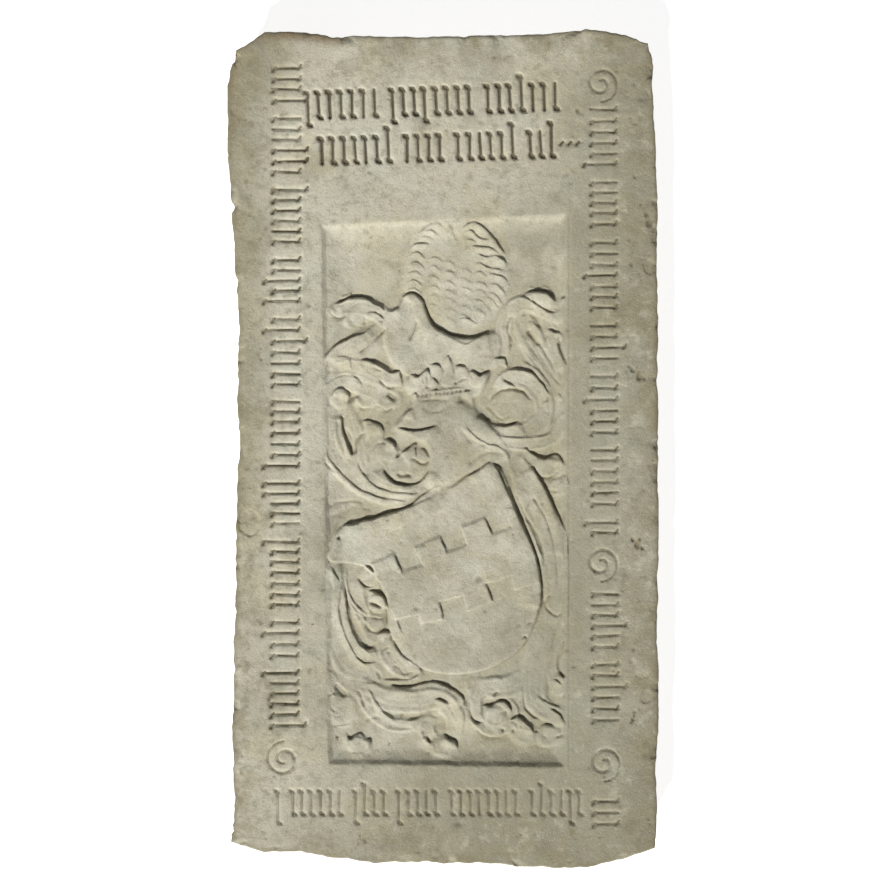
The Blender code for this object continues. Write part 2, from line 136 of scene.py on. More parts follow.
# %% [markdown]
# ## Carver's tools
# Five tools shape the relief. A leaf is a band along a bent line with a hollow middle. A boss is a
# rounded end. A plate is a flat form with an outline. An edge is a one-sided step: it stands up on
# the side of the light and drops sharply on the other, which gives carved leaves their crisp dark
# lines. A groove is a soft cut along a line.

# %% Lines and distances
SPACING = 0.3


def through(points, closed=False):
    """A smooth line through given points."""
    knots = np.array(points, float).reshape(-1, 2)
    if closed:
        knots = np.vstack([knots[-1], knots, knots[0], knots[1]])
    else:
        first = 2 * knots[0] - knots[1]
        last = 2 * knots[-1] - knots[-2]
        knots = np.vstack([first, knots, last])
    line = []
    for before, start, end, after in zip(knots, knots[1:], knots[2:], knots[3:]):
        count = max(2, int(np.linalg.norm(end - start) / SPACING))
        share = np.arange(count)[:, None] / count
        line.append(0.5 * (
            2 * start + (end - before) * share
            + (2 * before - 5 * start + 4 * end - after) * share ** 2
            + (3 * start - before - 3 * end + after) * share ** 3
        ))
    if not closed:
        line.append(knots[-2][None, :])
    return np.vstack(line)


def window(line, reach):
    """The part of the grid within reach of a line."""
    low = line.min(axis=0) - reach
    high = line.max(axis=0) + reach
    left, right = np.searchsorted(xs, (low[0], high[0]))
    bottom, top = np.searchsorted(ys, (low[1], high[1]))
    return slice(bottom, top), slice(left, right)


wobble_x = grid_x + 0.09 * soft_noise(1.6, 11) + 0.04 * soft_noise(0.7, 12)
wobble_y = grid_y + 0.09 * soft_noise(1.6, 13) + 0.04 * soft_noise(0.7, 14)


def measure(line, reach):
    """Distance to a line, the side of it (left is +1) and the share along it. The grid that it
    reads wobbles a little, as a hand-guided chisel does."""
    area = window(line, reach)
    px = wobble_x[area]
    py = wobble_y[area]
    best = np.full(px.shape, 1e9)
    side = np.ones(px.shape)
    along = np.zeros(px.shape)
    steps = len(line) - 1
    for index in range(steps):
        ax, ay = line[index]
        bx, by = line[index + 1] - line[index]
        run = bx * bx + by * by + 1e-12
        share = np.clip(((px - ax) * bx + (py - ay) * by) / run, 0, 1)
        gap_x = px - ax - share * bx
        gap_y = py - ay - share * by
        gap = gap_x * gap_x + gap_y * gap_y
        nearer = gap < best
        best = np.where(nearer, gap, best)
        side = np.where(nearer, np.sign(bx * gap_y - by * gap_x), side)
        along = np.where(nearer, (index + share) / steps, along)
    return area, np.sqrt(best), side, along


def line_length(line):
    """Length of a line in centimetres."""
    return np.linalg.norm(np.diff(line, axis=0), axis=1).sum()


def tapered(along, length, run):
    """Fades to nothing over a short run at both ends of a line."""
    run = min(run, length * 0.4)
    return ease(np.minimum(along, 1 - along) * length / run)


# %% Leaf, boss, plate, edge and groove
lift = np.zeros(grid_x.shape)
crisp = np.zeros(grid_x.shape)
uneven = 1 + 0.3 * soft_noise(2.2, 15)
MOST_DROP = 10.5
LIGHT_SIDE = (-0.42, -0.91)
VEINS = ((-0.42, 1.5), (0.05, 1.0), (0.45, 1.3))


def leaf(height, hollow, widths, *points):
    """A band along a line: full height near its rims, hollow along its middle, with three veins."""
    line = through(points)
    area, gap, side, along = measure(line, max(widths) / 2 + 0.5)
    half = np.interp(along, np.linspace(0, 1, len(widths)), widths) / 2
    share = gap / np.maximum(half, 0.1)
    body = ease((1.08 - share) / 0.34)
    dish = 1 - hollow * (1 - np.minimum(share, 1) ** 2)
    run = line_length(line)
    tips = 0.45 + 0.55 * tapered(along, run, 5.0)
    shape = height * body * dish * tips
    for place, depth in VEINS:
        off = gap * side - place * half
        shape -= depth * np.exp(-(off / 0.17) ** 2) * tapered(along, run, 4.0) * (half > 1.5)
    lift[area] = np.maximum(lift[area], shape)


def boss(height, hollow, x, y, half_width, half_height, turn=0.0):
    """A rounded form, domed when hollow is 0 and dished when it is near 1."""
    reach = max(half_width, half_height) * 1.3
    area = window(np.array([[x, y]]), reach)
    spin = math.radians(turn)
    px = grid_x[area] - x
    py = grid_y[area] - y
    across = (px * math.cos(spin) + py * math.sin(spin)) / half_width
    up = (-px * math.sin(spin) + py * math.cos(spin)) / half_height
    share = np.hypot(across, up)
    body = ease((1.1 - share) / 0.45)
    dish = 1 - hollow * (1 - np.minimum(share, 1) ** 2)
    lift[area] = np.maximum(lift[area], height * body * dish)


def inside(line, area):
    """Whether grid points lie inside a closed line."""
    px = wobble_x[area]
    py = wobble_y[area]
    within = np.zeros(px.shape, bool)
    for (ax, ay), (bx, by) in zip(line, np.roll(line, -1, axis=0)):
        if abs(by - ay) < 1e-9:
            continue
        crosses = (ay > py) != (by > py)
        meets = ax + (py - ay) / (by - ay) * (bx - ax)
        within ^= crosses & (px < meets)
    return within


def plate(height, rim, points, bulge=0.0):
    """A flat form with an outline and a sloping rim. Bulge lifts its middle a little more."""
    line = through(points, closed=True)
    area, gap, *_ = measure(np.vstack([line, line[:1]]), 1.0)
    depth = np.where(inside(line, area), gap, -gap)
    body = ease(depth / rim + 0.5)
    crown = bulge * (1 - np.exp(-np.maximum(depth, 0) / 3.0))
    lift[area] = np.maximum(lift[area], (height + crown) * body)
    return area, depth


def lit_side(line):
    """+1 if the light comes from the left of the line, -1 if from its right."""
    run = line[-1] - line[0]
    middle = line[len(line) // 2] - (line[0] + line[-1]) / 2
    facing = -run[1] * LIGHT_SIDE[0] + run[0] * LIGHT_SIDE[1]
    if np.hypot(*run) < np.hypot(*middle):
        facing = 0.0
        for start, end in zip(line, line[1:]):
            step = end - start
            facing += -step[1] * LIGHT_SIDE[0] + step[0] * LIGHT_SIDE[1]
    return 1.0 if facing > 0 else -1.0


def edge(drop, fade, *points, sharp=0.1):
    """A step that is high towards the light and falls sharply on its far side."""
    line = through(points)
    area, gap, side, along = measure(line, fade * 2.4 + 0.5)
    across = gap * side * lit_side(line)
    ends = tapered(along, line_length(line), 1.6)
    high = ease(across / (2 * sharp) + 0.5) * np.exp(-(across / fade) ** 2)
    low = -0.36 * ease(-across / (2 * sharp) + 0.5) * np.exp(-(across / 0.8) ** 2)
    drop = MOST_DROP * math.tanh(1.3 * drop / MOST_DROP)
    crisp[area] += drop * ends * (0.92 * high + low) * uneven[area]


def groove(depth, width, *points):
    """A soft cut along a line."""
    line = through(points)
    area, gap, _, along = measure(line, width * 1.6)
    ends = tapered(along, line_length(line), 1.2)
    crisp[area] -= 1.35 * depth * ends * np.exp(-(gap / (0.62 * width)) ** 2) * uneven[area]


# %% [markdown]
# ## The panel and the broad forms
# The relief starts with its broad masses, laid over the floor of the panel: the leaves of the
# mantling, the cap and helm, the shield, and the low dome of the feather fan. Where forms meet, the
# higher one wins, so the creases between leaves come by themselves.

# %% Mantling on the upper left and right
leaf(9, 0.35, (3.5, 5.0, 4.6, 2.6), (-12.5, 29), (-15.5, 33.4), (-20.5, 35.6), (-25.5, 35.4),
     (-28.2, 34.6))
leaf(7, 0.3, (3.0, 5.0, 5.5, 4.0), (-14, 31), (-19, 28), (-24.5, 25), (-28.6, 21), (-30, 17.5))
leaf(7, 0.2, (4, 6, 5), (-14, 29), (-20, 24.5), (-27, 21.5))
boss(7, 0.3, -22.4, 32.6, 3.0, 2.4, 20)
boss(8, 0.2, -26.3, 34.5, 2.4, 1.6, 10)
leaf(9, 0.25, (5.0, 6.2, 4.6, 3.0), (-11.2, 16.8), (-15.5, 18), (-20.5, 20), (-25.5, 20.4),
     (-29.4, 18.2))
leaf(8, 0.2, (4.6, 5.0, 3.6, 2.4), (-12.5, 12.6), (-17.5, 14.6), (-22, 16), (-25.6, 16.6),
     (-29.2, 14.6), (-30.2, 11.4))
boss(8, 0.15, -26, 12.4, 2.7, 2.7, 0)
boss(7, 0.25, -19.6, 12.2, 3.3, 2.2, 0)
boss(7, 0.25, -14.8, 11.6, 2.6, 2.0, 0)
leaf(8, 0.4, (4.4, 5.5, 6.0), (-29, 9), (-28.6, 2), (-25.5, -4.5), (-19.5, -9.4), (-12, -12),
     (-6, -12.4))
leaf(7, 0.2, (5, 6, 5, 3), (-24.5, 8.5), (-22.5, 4), (-22, -1), (-19.8, -6), (-14.8, -9.6),
     (-8, -11))
leaf(10, 0.2, (6.5, 7.5, 6.5), (-16.4, -6.5), (-18.6, -2), (-18.2, 3.2))
boss(9, 0.1, -13.8, -0.8, 3.2, 2.8, -30)
boss(8, 0.4, -8.8, -4.2, 6.0, 4.8, 10)
leaf(8, 0.3, (3.4, 4.4, 4.4, 3.4), (14.8, 25), (14.9, 30), (16.8, 34.8), (20.6, 36.6),
     (25.2, 34.6), (28.4, 33))
boss(9, 0.35, 24.5, 37.2, 4.4, 2.2, -12)
leaf(8, 0.25, (5.0, 7.0, 6.4, 4.4), (19, 34), (21.8, 28), (25, 21.4), (28.2, 14.4))
leaf(7, 0.2, (3.0, 5.0, 3.4), (25.6, 31.6), (28.4, 26), (29.6, 19))
leaf(9, 0.45, (3.4, 5.0, 5.6, 5.0, 4.2, 3.2), (13, 13.6), (15.6, 17.4), (20, 17.4), (24.4, 13.6),
     (24.8, 8), (20.4, 4.6), (14.5, 4.4), (10, 6.2))
boss(8, 0.3, 18, 10.6, 6.0, 4.8, 15)
leaf(9, 0.2, (2.4, 3.6, 3.6, 3.0), (4.6, 9), (8.5, 5), (14, 2.2), (20.4, 1.2), (27, 2.6),
     (29.8, 7.6))
boss(8, 0.3, 26.4, -4.6, 4.2, 2.7, -12)
boss(8, 0.3, 28.6, -9.4, 2.8, 2.4, 0)
print("upper mantling", round(float(lift.max()), 1), "mm high")

# %% Mantling beside and below the shield
leaf(8, 0.35, (4.6, 8.6, 7.8, 6.6, 5.0), (17.4, -1.5), (21.4, -10), (25.2, -20), (27.5, -30),
     (28, -40), (26.8, -46))
leaf(7, 0.25, (5.0, 7.6, 7.4, 6.4, 4.4), (26, -43), (23.8, -51), (22.6, -58), (23.6, -63.6),
     (28.6, -67.4))
leaf(7, 0.2, (4, 5, 4), (28.2, -46), (27.4, -53), (28.6, -60))
leaf(8, 0.3, (2.6, 3.0, 3.2, 3.0), (-27.2, -29), (-25.8, -38), (-23.6, -46.4), (-19.6, -52),
     (-15.4, -51.8))
leaf(7, 0.3, (4.8, 5.0, 4.6, 4.0), (-22, -30), (-22.2, -36.5), (-20, -42), (-17.8, -46.8))
boss(8, 0.3, -18.2, -33, 3.0, 2.0, -22)
boss(9, 0.3, -16.6, -38.6, 2.6, 2.6, 0)
boss(8, 0.3, -17.2, -43.6, 2.5, 2.2, 0)
leaf(9, 0.3, (4.0, 5.6, 5.4, 3.6), (-15.4, -47.6), (-13.4, -52), (-10.4, -55), (-7.0, -56.2))
leaf(7, 0.3, (3.6, 5.6, 4.2), (-27.6, -30), (-28, -38), (-28, -46))
leaf(6, 0.3, (5, 6, 6), (-27, -48), (-24.4, -54), (-18, -56.4))
leaf(8, 0.25, (5.6, 6.2, 6.4, 6.2, 5.6, 4.4), (-24, -58), (-15.5, -62.4), (-8, -63.4),
     (-1.4, -62.8), (2.2, -66), (2.8, -70.5))
leaf(7, 0.3, (4.0, 4.2, 3.8, 3.0), (-21, -60.5), (-18, -65.4), (-13, -69), (-6.6, -69.2))
boss(8, 0.35, -25.2, -65.2, 4.2, 4.6, 0)
leaf(7, 0.2, (3, 4, 3), (-28.4, -57), (-27.2, -60), (-23.4, -62))
boss(8, 0.2, -21.4, -74.2, 3.4, 2.4, -12)
boss(8, 0.2, -0.6, -74.6, 3.9, 2.7, -12)
leaf(7, 0.25, (3.4, 4.6, 3.4), (-3.0, -66.6), (-4.4, -70), (-2.4, -74))
leaf(8, 0.3, (5, 6, 6, 5), (7.6, -59.5), (11.5, -59.8), (16, -59.6), (20.4, -57.2))
leaf(9, 0.35, (3.4, 3.4, 3.6, 3.6, 3.4, 3.0), (8.6, -58.8), (7.8, -63.4), (8.4, -67.8),
     (12.2, -70.6), (16, -69.2), (17.2, -65.4), (14, -62.4))
boss(8, 0.2, 12.6, -66.8, 3.2, 2.7, 0)
boss(8, 0.25, 19.6, -70.8, 4.2, 3.3, -35)
boss(7, 0.25, 26.3, -72, 3.6, 3.0, 0)
print("lower mantling", round(float(lift.max()), 1), "mm high")

# %% [markdown]
# ## Cap, helm, crown and shield
# The cap, helm and shield are plates with listed outlines. The crown is a bent band with rounded
# fleurons on it. The tilted shield carries an embattled bar, one step higher than its field. The
# bar's outline goes along its upper merlons and back along its lower ones.

# %% Cap, helm and crown
CAP = (
    -15.2, 33.6, -11.2, 35.7, -10.2, 38.2, -8, 39.1, -5.4, 37.2, -4.2, 33.8, -2.4, 30.6,
    1.5, 28.4, 6.5, 27.7, 12.4, 29.4, 14.4, 27, 12.6, 21, 6, 18, -6, 17.6, -12.4, 20.4, -15, 26.5,
)
HELM = (
    -12.2, 5.4, -10.2, 8.2, -7.8, 11.6, -7.4, 15, 0, 15.6, 7.4, 15.4, 7.4, 12, 9.4, 8.4, 13.5, 4,
    16.6, -1, 14, -3.4, 5.5, -6.6, -3.4, -10.2, -3.6, -4, -4.4, 0.6, -8.6, 3.4,
)
plate(9.5, 1.2, CAP, bulge=1.5)
plate(11, 1.4, HELM, bulge=1.5)
plate(10.5, 1.0, (
    -8.8, 13.8, -8.6, 18.6, -6.6, 18, -4.4, 20.4, -2.4, 21.4, -0.4, 20.4, 0.7, 23.2, 2, 20.4,
    4.4, 21, 6.2, 19.6, 8.2, 19, 11.2, 19, 10.4, 16.4, 8.4, 13.4, 0, 12.6,
))
lift = blur(lift, 0.12) * 0.86
for fleuron in (
    (-8.6, 14.8, -8.4, 18.8, -7.2, 18, -6, 18.2, -4.4, 20.2, -4.2, 17.6, -4.8, 15.4),
    (-3.9, 15.8, -4, 18.2, -3.4, 20.2, -2, 21.3, -0.6, 20.6, -0.2, 18.8, -1, 17, -1.8, 15.9),
    (-0.6, 16, -0.1, 19.4, 0.4, 21.6, 1.1, 23.5, 1.9, 21.6, 2.6, 19.4, 2.6, 16.2),
    (2.9, 16.6, 2.6, 19, 3.4, 20.7, 4.7, 21.2, 6.1, 20, 6.2, 18, 5.2, 16.4),
    (6.2, 16.4, 6.5, 19.6, 8.1, 18.7, 9.3, 18.3, 11.4, 19.4, 10.4, 16.6, 8.6, 15.4),
):
    plate(12, 0.4, fleuron)
leaf(12.5, 0.0, (1.8, 2.2, 2.2, 1.8), -7.0, 13.4, -2, 13.7, 3, 14.4, 7.6, 15.2)
print("helm and crown", round(float(lift.max()), 1), "mm high")

# %% Shield and its embattled bar
SHIELD = (
    -25, -19.2, -12, -15.8, 2, -9.5, 12.3, -3.4, 18.2, -15, 23, -27, 24.4, -37, 20.6, -48,
    12, -54.6, 1, -56.4, -8.6, -53.4, -13.4, -46, -15, -36.5, -20, -29.6, -28.4, -28, -27.6, -23.4,
)
BAR_UPPER = (
    (-18.25, -28.75), (-12.5, -26.25), (-10.5, -30.75), (-5.25, -29), (-7.5, -24.75), (-1, -21.75),
    (0.75, -26), (5.75, -24), (4.25, -19.5), (10.25, -17.25), (12.25, -21.5), (17, -19.75),
    (15.25, -15.25), (17.5, -14.75),
)
BAR_LOWER = (
    (-10.5, -46.5), (-12, -42.75), (-6.5, -41.5), (-5.75, -43.75), (0, -42.75), (-1.25, -38.25),
    (4.75, -36.75), (6, -40.75), (12.25, -38.25), (10.5, -33.75), (16.75, -31.75), (17.75, -35.25),
    (24.25, -33.25),
)
SHIELD_HEIGHT = 9
BAR_STEP = 5.5
FAR_OUT = -9.0
shield_area, shield_depth = plate(SHIELD_HEIGHT, 0.7, SHIELD, bulge=0.5)
bar = np.array((*BAR_UPPER, *reversed(BAR_LOWER)))
area, gap, *_ = measure(np.vstack([bar, bar[:1]]), 1.5)
depth = np.where(inside(bar, area), gap, -gap)
fall_y, _ = np.gradient(depth, CELL)
slope = 0.35 + 1.1 * np.clip(-fall_y, 0, 1) ** 3
raised = SHIELD_HEIGHT + BAR_STEP * ease(depth / slope + 0.5)
field_depth = np.full(grid_x.shape, FAR_OUT)
field_depth[shield_area] = shield_depth
lift[area] = np.where(field_depth[area] > 0.35, np.maximum(lift[area], raised), lift[area])
print("shield", round(float(shield_depth.max()), 1), "cm to its rim")

# %% [markdown]
# ## Feather fan
# The crest is a fan of feathers, drawn as a low egg with small arcs. Those along its rim are listed
# one by one. The ones inside stand in columns and are shifted a little at random. Each arc is a
# shallow edge, so the light catches its lower side and leaves a thin dark line over it.

# %% Fan and its feather edges
FAN_LEFT_Y = (38, 40, 44, 47, 50, 54, 58)
FAN_LEFT_X = (-9, -10, -9.8, -9.5, -9, -7, -2)
FAN_RIGHT_Y = (31.5, 34.5, 36.5, 38.5, 42.5, 45.5, 48, 50, 52, 54, 56, 58)
FAN_RIGHT_X = (11, 13, 14.6, 15.6, 16.3, 16, 15.4, 14.5, 13, 12, 9, 4)
fan_outline = list(zip(FAN_LEFT_X, FAN_LEFT_Y)) + list(zip(FAN_RIGHT_X, FAN_RIGHT_Y))[::-1]
plate(5, 2.6, fan_outline + [(3, 29.5), (-3.5, 34)], bulge=1.0)
feathers = [
    (3.6, 1.3, -6.8, 53.6, -5.2, 55.0, -3.9, 56.0, -1.8, 56.7, 0.1, 55.4),
    (3.0, 1.2, -8.6, 49.8, -7.6, 51.0, -6.4, 51.5, -4.0, 51.4, -3.2, 50.8),
    (2.6, 1.0, -5.2, 54.4, -3.2, 54.8, -1.2, 53.4),
    (2.2, 1.0, -6.6, 53.0, -5.0, 53.2, -3.4, 52.8, -2.4, 51.9),
    (3.2, 0.9, 2.3, 57.9, 2.9, 57.2, 3.4, 56.6),
    (2.0, 0.8, 0.2, 57.4, 1.6, 55.8, 2.6, 53.4, 3.2, 51.6),
    (1.8, 0.8, 0.9, 56.0, 1.8, 54.0, 2.2, 52.4),
    (4.0, 1.5, 4.4, 54.6, 5.8, 56.2, 7.8, 56.8, 9.8, 55.6, 12.3, 53.1, 14.4, 50.2, 15.3, 48.9),
    (3.4, 1.3, 13.4, 48.7, 15.0, 47.6, 16.0, 45.6),
    (3.0, 1.0, 4.8, 54.0, 6.8, 54.7, 8.2, 53.4, 9.4, 52.7, 11.8, 52.4),
    (2.2, 1.0, 5.0, 52.6, 6.8, 52.5, 8.6, 51.5),
    (3.4, 1.3, 6.5, 50.6, 9.4, 50.7, 11.9, 50.3, 14.4, 48.5),
    (3.4, 1.3, 8.0, 49.1, 10.7, 48.2, 13.2, 48.5, 15.2, 46.8),
    (2.6, 1.2, 7.0, 46.4, 9.0, 46.7, 10.6, 45.7, 13.0, 45.2, 15.6, 44.4),
    (2.8, 1.2, 10.7, 44.4, 13.0, 43.7, 15.2, 42.9, 16.3, 41.2),
    (2.3, 1.2, 11.1, 41.2, 13.2, 41.3, 14.8, 39.9, 15.7, 38.0),
    (1.9, 1.1, 10.6, 39.2, 12.6, 38.9, 14.2, 37.2, 14.8, 35.6),
    (1.8, 1.1, 9.6, 37.8, 11.7, 37.8, 13.2, 36.1, 13.6, 34.2),
    (1.7, 1.0, 9.6, 36.0, 11.0, 35.6, 12.2, 33.6),
    (1.7, 1.0, 7.6, 34.4, 9.6, 34.4, 10.9, 32.2),
    (2.2, 1.0, 3.0, 32.0, 4.6, 32.8, 6.6, 32.4, 8.8, 31.0),
]
for y in (49.3, 46.9, 44.6, 42.4, 40.4):
    x = np.interp(y, FAN_LEFT_Y, FAN_LEFT_X)
    feathers.append((2.3, 1.1, x + 0.3, y - 1.1, x + 2.1, y, x + 3.6, y - 0.6, x + 5.0, y - 2.2))
chance = np.random.default_rng(3)
COLUMNS = ((-4.2, 36.5, 50.5), (-0.6, 33, 48.5), (3.4, 33.5, 47), (7.2, 35, 44.5))
COLUMN_STEP = 2.35
for column_x, low_y, high_y in COLUMNS:
    for y in np.arange(low_y, high_y, COLUMN_STEP):
        x = column_x + chance.uniform(-0.4, 0.4)
        y += chance.uniform(-0.25, 0.25)
        deep = chance.uniform(0.9, 1.9)
        feathers.append((deep, 0.8, x, y - 0.7, x + 1.4, y, x + 2.8, y - 0.6, x + 3.9, y - 1.9))
for depth, width, *line in feathers:
    edge(depth, width, *line, sharp=0.09)
print("fan", len(feathers), "feather edges")

# %% [markdown]
# ## Crisp edges of the leaves
# The broad forms alone look like worn soap. What draws the leaves in the light are their cut edges
# and veins, so each one gets its own line here: first how deep, then how wide, then points along it
# in pairs. The edges stand up towards the light and drop on their far side.

# %% Edges on the upper left
for depth, width, *line in (
    (7, 3.5, -27.8, 36, -25.5, 36.9, -23, 37.9, -20.5, 38, -18.8, 37.4, -17.5, 36.3, -15.8, 35.6,
     -14.4, 34.3),
    (2, 1.5, -26.3, 38.2, -24.5, 38.6, -22.5, 39.5),
    (5, 2.5, -14.4, 34.3, -13, 34.5, -11, 35.8),
    (9, 4, -10.5, 37.4, -9.5, 38.7, -8, 39.1, -6.6, 38.4, -5.2, 37, -4.5, 35, -3.8, 32.8, -2.9, 31,
     -1.8, 30.2, 0, 29.3, 1.6, 28.4, 3.5, 28.1, 5.5, 27.8, 8, 27.9, 10, 28.6, 11.9, 29),
    (3, 0.8, 1.4, 28.0, 3.4, 27.1, 5.5, 26.3, 7.4, 27.2, 9, 28.2),
    (2.5, 1.5, -20, 33.9, -18.5, 34.2, -17, 34, -15.8, 33.2, -14.4, 31.8),
    (8, 4, -30, 22, -28.8, 24.2, -27.3, 25.7, -25, 27.1, -22.5, 28.2, -20.3, 28.9, -19.3, 29.6,
     -18.4, 30.5),
    (2.5, 2, -27.2, 23.4, -25.5, 23.1, -24, 22.8, -23.4, 22, -23.3, 19.5),
    (7, 3.5, -21.2, 22.5, -19, 22.1, -16.5, 21, -14.5, 19.8, -13.3, 19.1, -12, 19.3, -11.2, 19.5,
     -10.8, 18, -10.5, 15.5),
    (3, 2, -23.4, 18.9, -21.8, 17.7, -20.8, 16.3, -20.2, 15),
    (6, 2.5, -28.2, 12.8, -27.5, 14.3, -26.3, 15.1, -25, 15, -24, 13.8, -23.4, 12.4),
    (4, 2, -23.4, 12.3, -22.3, 12.6, -21.4, 13.4),
    (9, 4, -20.9, 6.9, -19.3, 7.2, -17.5, 6.6, -15.8, 5.8, -15.1, 4.8, -14.7, 3.8),
    (8, 3, -15.2, 2.1, -14.3, 2.5, -13, 1.8, -12.2, 0.5, -12, -0.8),
    (6, 3, -11.3, -1.4, -10, -0.6, -8.7, 0.2, -7.8, 1.1, -7, 1.4, -6.3, 0.8),
    (3, 2, -6.5, 0.5, -5, -0.3, -4.2, -1.5, -3.3, -2.9),
    (9, 3.5, -15.2, -4.6, -14.8, -6, -13.7, -7.6, -12.3, -8.6, -10.7, -9.1, -9, -9.2, -6.2, -8.4,
     -4.6, -6.8, -3.4, -5),
    (3, 1.4, -22, -2.5, -21, -5, -19, -7.7, -16.5, -9.7, -14, -10.6, -11, -11.1, -8, -11.2,
     -6, -10.8),
    (2.6, 1.2, -30, 1, -29.2, -1.5, -27.5, -4.2, -25, -6.8, -22, -9.6, -19, -11, -16, -12.2,
     -12, -12.8, -9, -13.2),
    (3, 2, -30.3, -3, -28.5, -5, -26.5, -6.3),
    (10, 2.2, -25.8, 8.8, -25.5, 5.2, -24.6, 1.8, -22.8, -2.2),
    (10, 5, -25.2, -18.9, -23, -19, -20, -18, -17, -17.3, -14, -16.2, -11, -15.3, -8.3, -14.2,
     -6.8, -12.8, -5, -11.3, -3, -10, -0.5, -8.8),
):
    edge(depth, width, *line)
print("steps", round(float(crisp.max()), 1), "mm at most")

# %% Grooves on the upper left
for depth, width, *line in (
    (4, 0.5, -28.8, 34.6, -27.6, 33.4, -26.6, 32.7, -25.4, 32.8, -24.2, 33.8),
    (2.4, 0.4, -24, 34, -23.4, 35.2, -21.4, 36.6),
    (2.6, 0.4, -23.8, 33, -22.8, 31.4, -21, 30.8, -19.6, 30.4),
    (2, 0.5, -24.3, 33.1, -22.6, 35.3, -21.9, 36.2, -20.5, 36.9),
    (2.5, 0.5, -24, 31.9, -23, 31, -21.5, 30.6, -20.8, 30.8),
    (4, 0.8, -20.1, 32.2, -19.8, 31.2, -19.5, 30.4),
    (4, 0.5, -14.8, 31, -15.1, 29.6, -17.1, 27.6, -19, 25.8, -21.4, 23.9),
    (4, 0.7, -6.9, 32.6, -6.9, 31, -7.5, 29.5, -8.2, 28, -8.3, 26.8),
    (2.5, 0.5, -30.4, 22, -30.7, 19, -30.4, 17.2, -29.4, 18.3, -28, 20.4),
    (3, 0.5, -18, 20.7, -16.5, 20, -15, 19.4),
    (3.6, 0.5, -16.7, 18, -15, 16.1, -13.3, 15.3, -11.8, 15.6),
    (6, 0.9, -23.8, 12.5, -23.4, 12.2, -22.9, 12.0),
    (3, 0.45, -22, 11.5, -20.6, 10.2, -19.2, 10.2, -17.7, 10.8),
    (3, 0.45, -17.6, 10.9, -16, 10.7, -14.4, 9.5, -13.2, 10, -12.6, 11),
    (8, 0.9, -14.4, 14.2, -13, 13.2, -11.7, 12.1),
    (6, 0.8, -23.7, 13, -23.1, 12.2, -22, 12.8),
    (5, 0.5, -25.3, 8.3, -25.1, 4.9, -24, 2, -22.7, -1.7),
    (8, 0.6, -25, 5.4, -23.4, 2.6, -22.7, -1.5),
    (5.5, 0.6, -22.1, -1.4, -22, 1, -20.9, 3.2, -19.6, 4.2),
    (2.4, 0.4, -18.8, -3.6, -18.6, -1.4, -17.4, 0.8, -15.6, 1.6, -13.6, 0.8),
    (8, 1, -12, -1.2, -11.6, -1.5, -11.2, -1.9),
    (4, 0.5, -8.7, -2.8, -7.4, -2.6, -5.6, -3.6, -4, -3.4, -3.2, -2.9),
    (4, 0.7, -12, -5.6, -10.6, -6.8, -9.2, -6.4, -7.6, -7.2),
    (2, 0.4, -15, -2.9, -14, -2.7, -13, -3),
    (3, 0.6, -30, -8.5, -28.8, -10),
    (2, 0.5, -29.2, -11, -29, -13.5, -28.2, -14.2, -27, -13.3, -25, -13.1, -22, -13, -20, -13.8),
    (3, 0.7, -28.5, -17, -26, -16, -25, -14.5),
    (2.5, 0.5, -29, -23.5, -27, -19.5, -25.3, -16.5, -23.3, -14.5, -22, -14.3),
    (1.5, 0.5, -21, -14.8, -19, -15, -17.5, -15.5),
    (5, 0.8, -26.5, -22.8, -25.8, -21.5),
):
    groove(depth, width, *line)
print("grooves", round(float(-crisp.min()), 1), "mm deep at most")

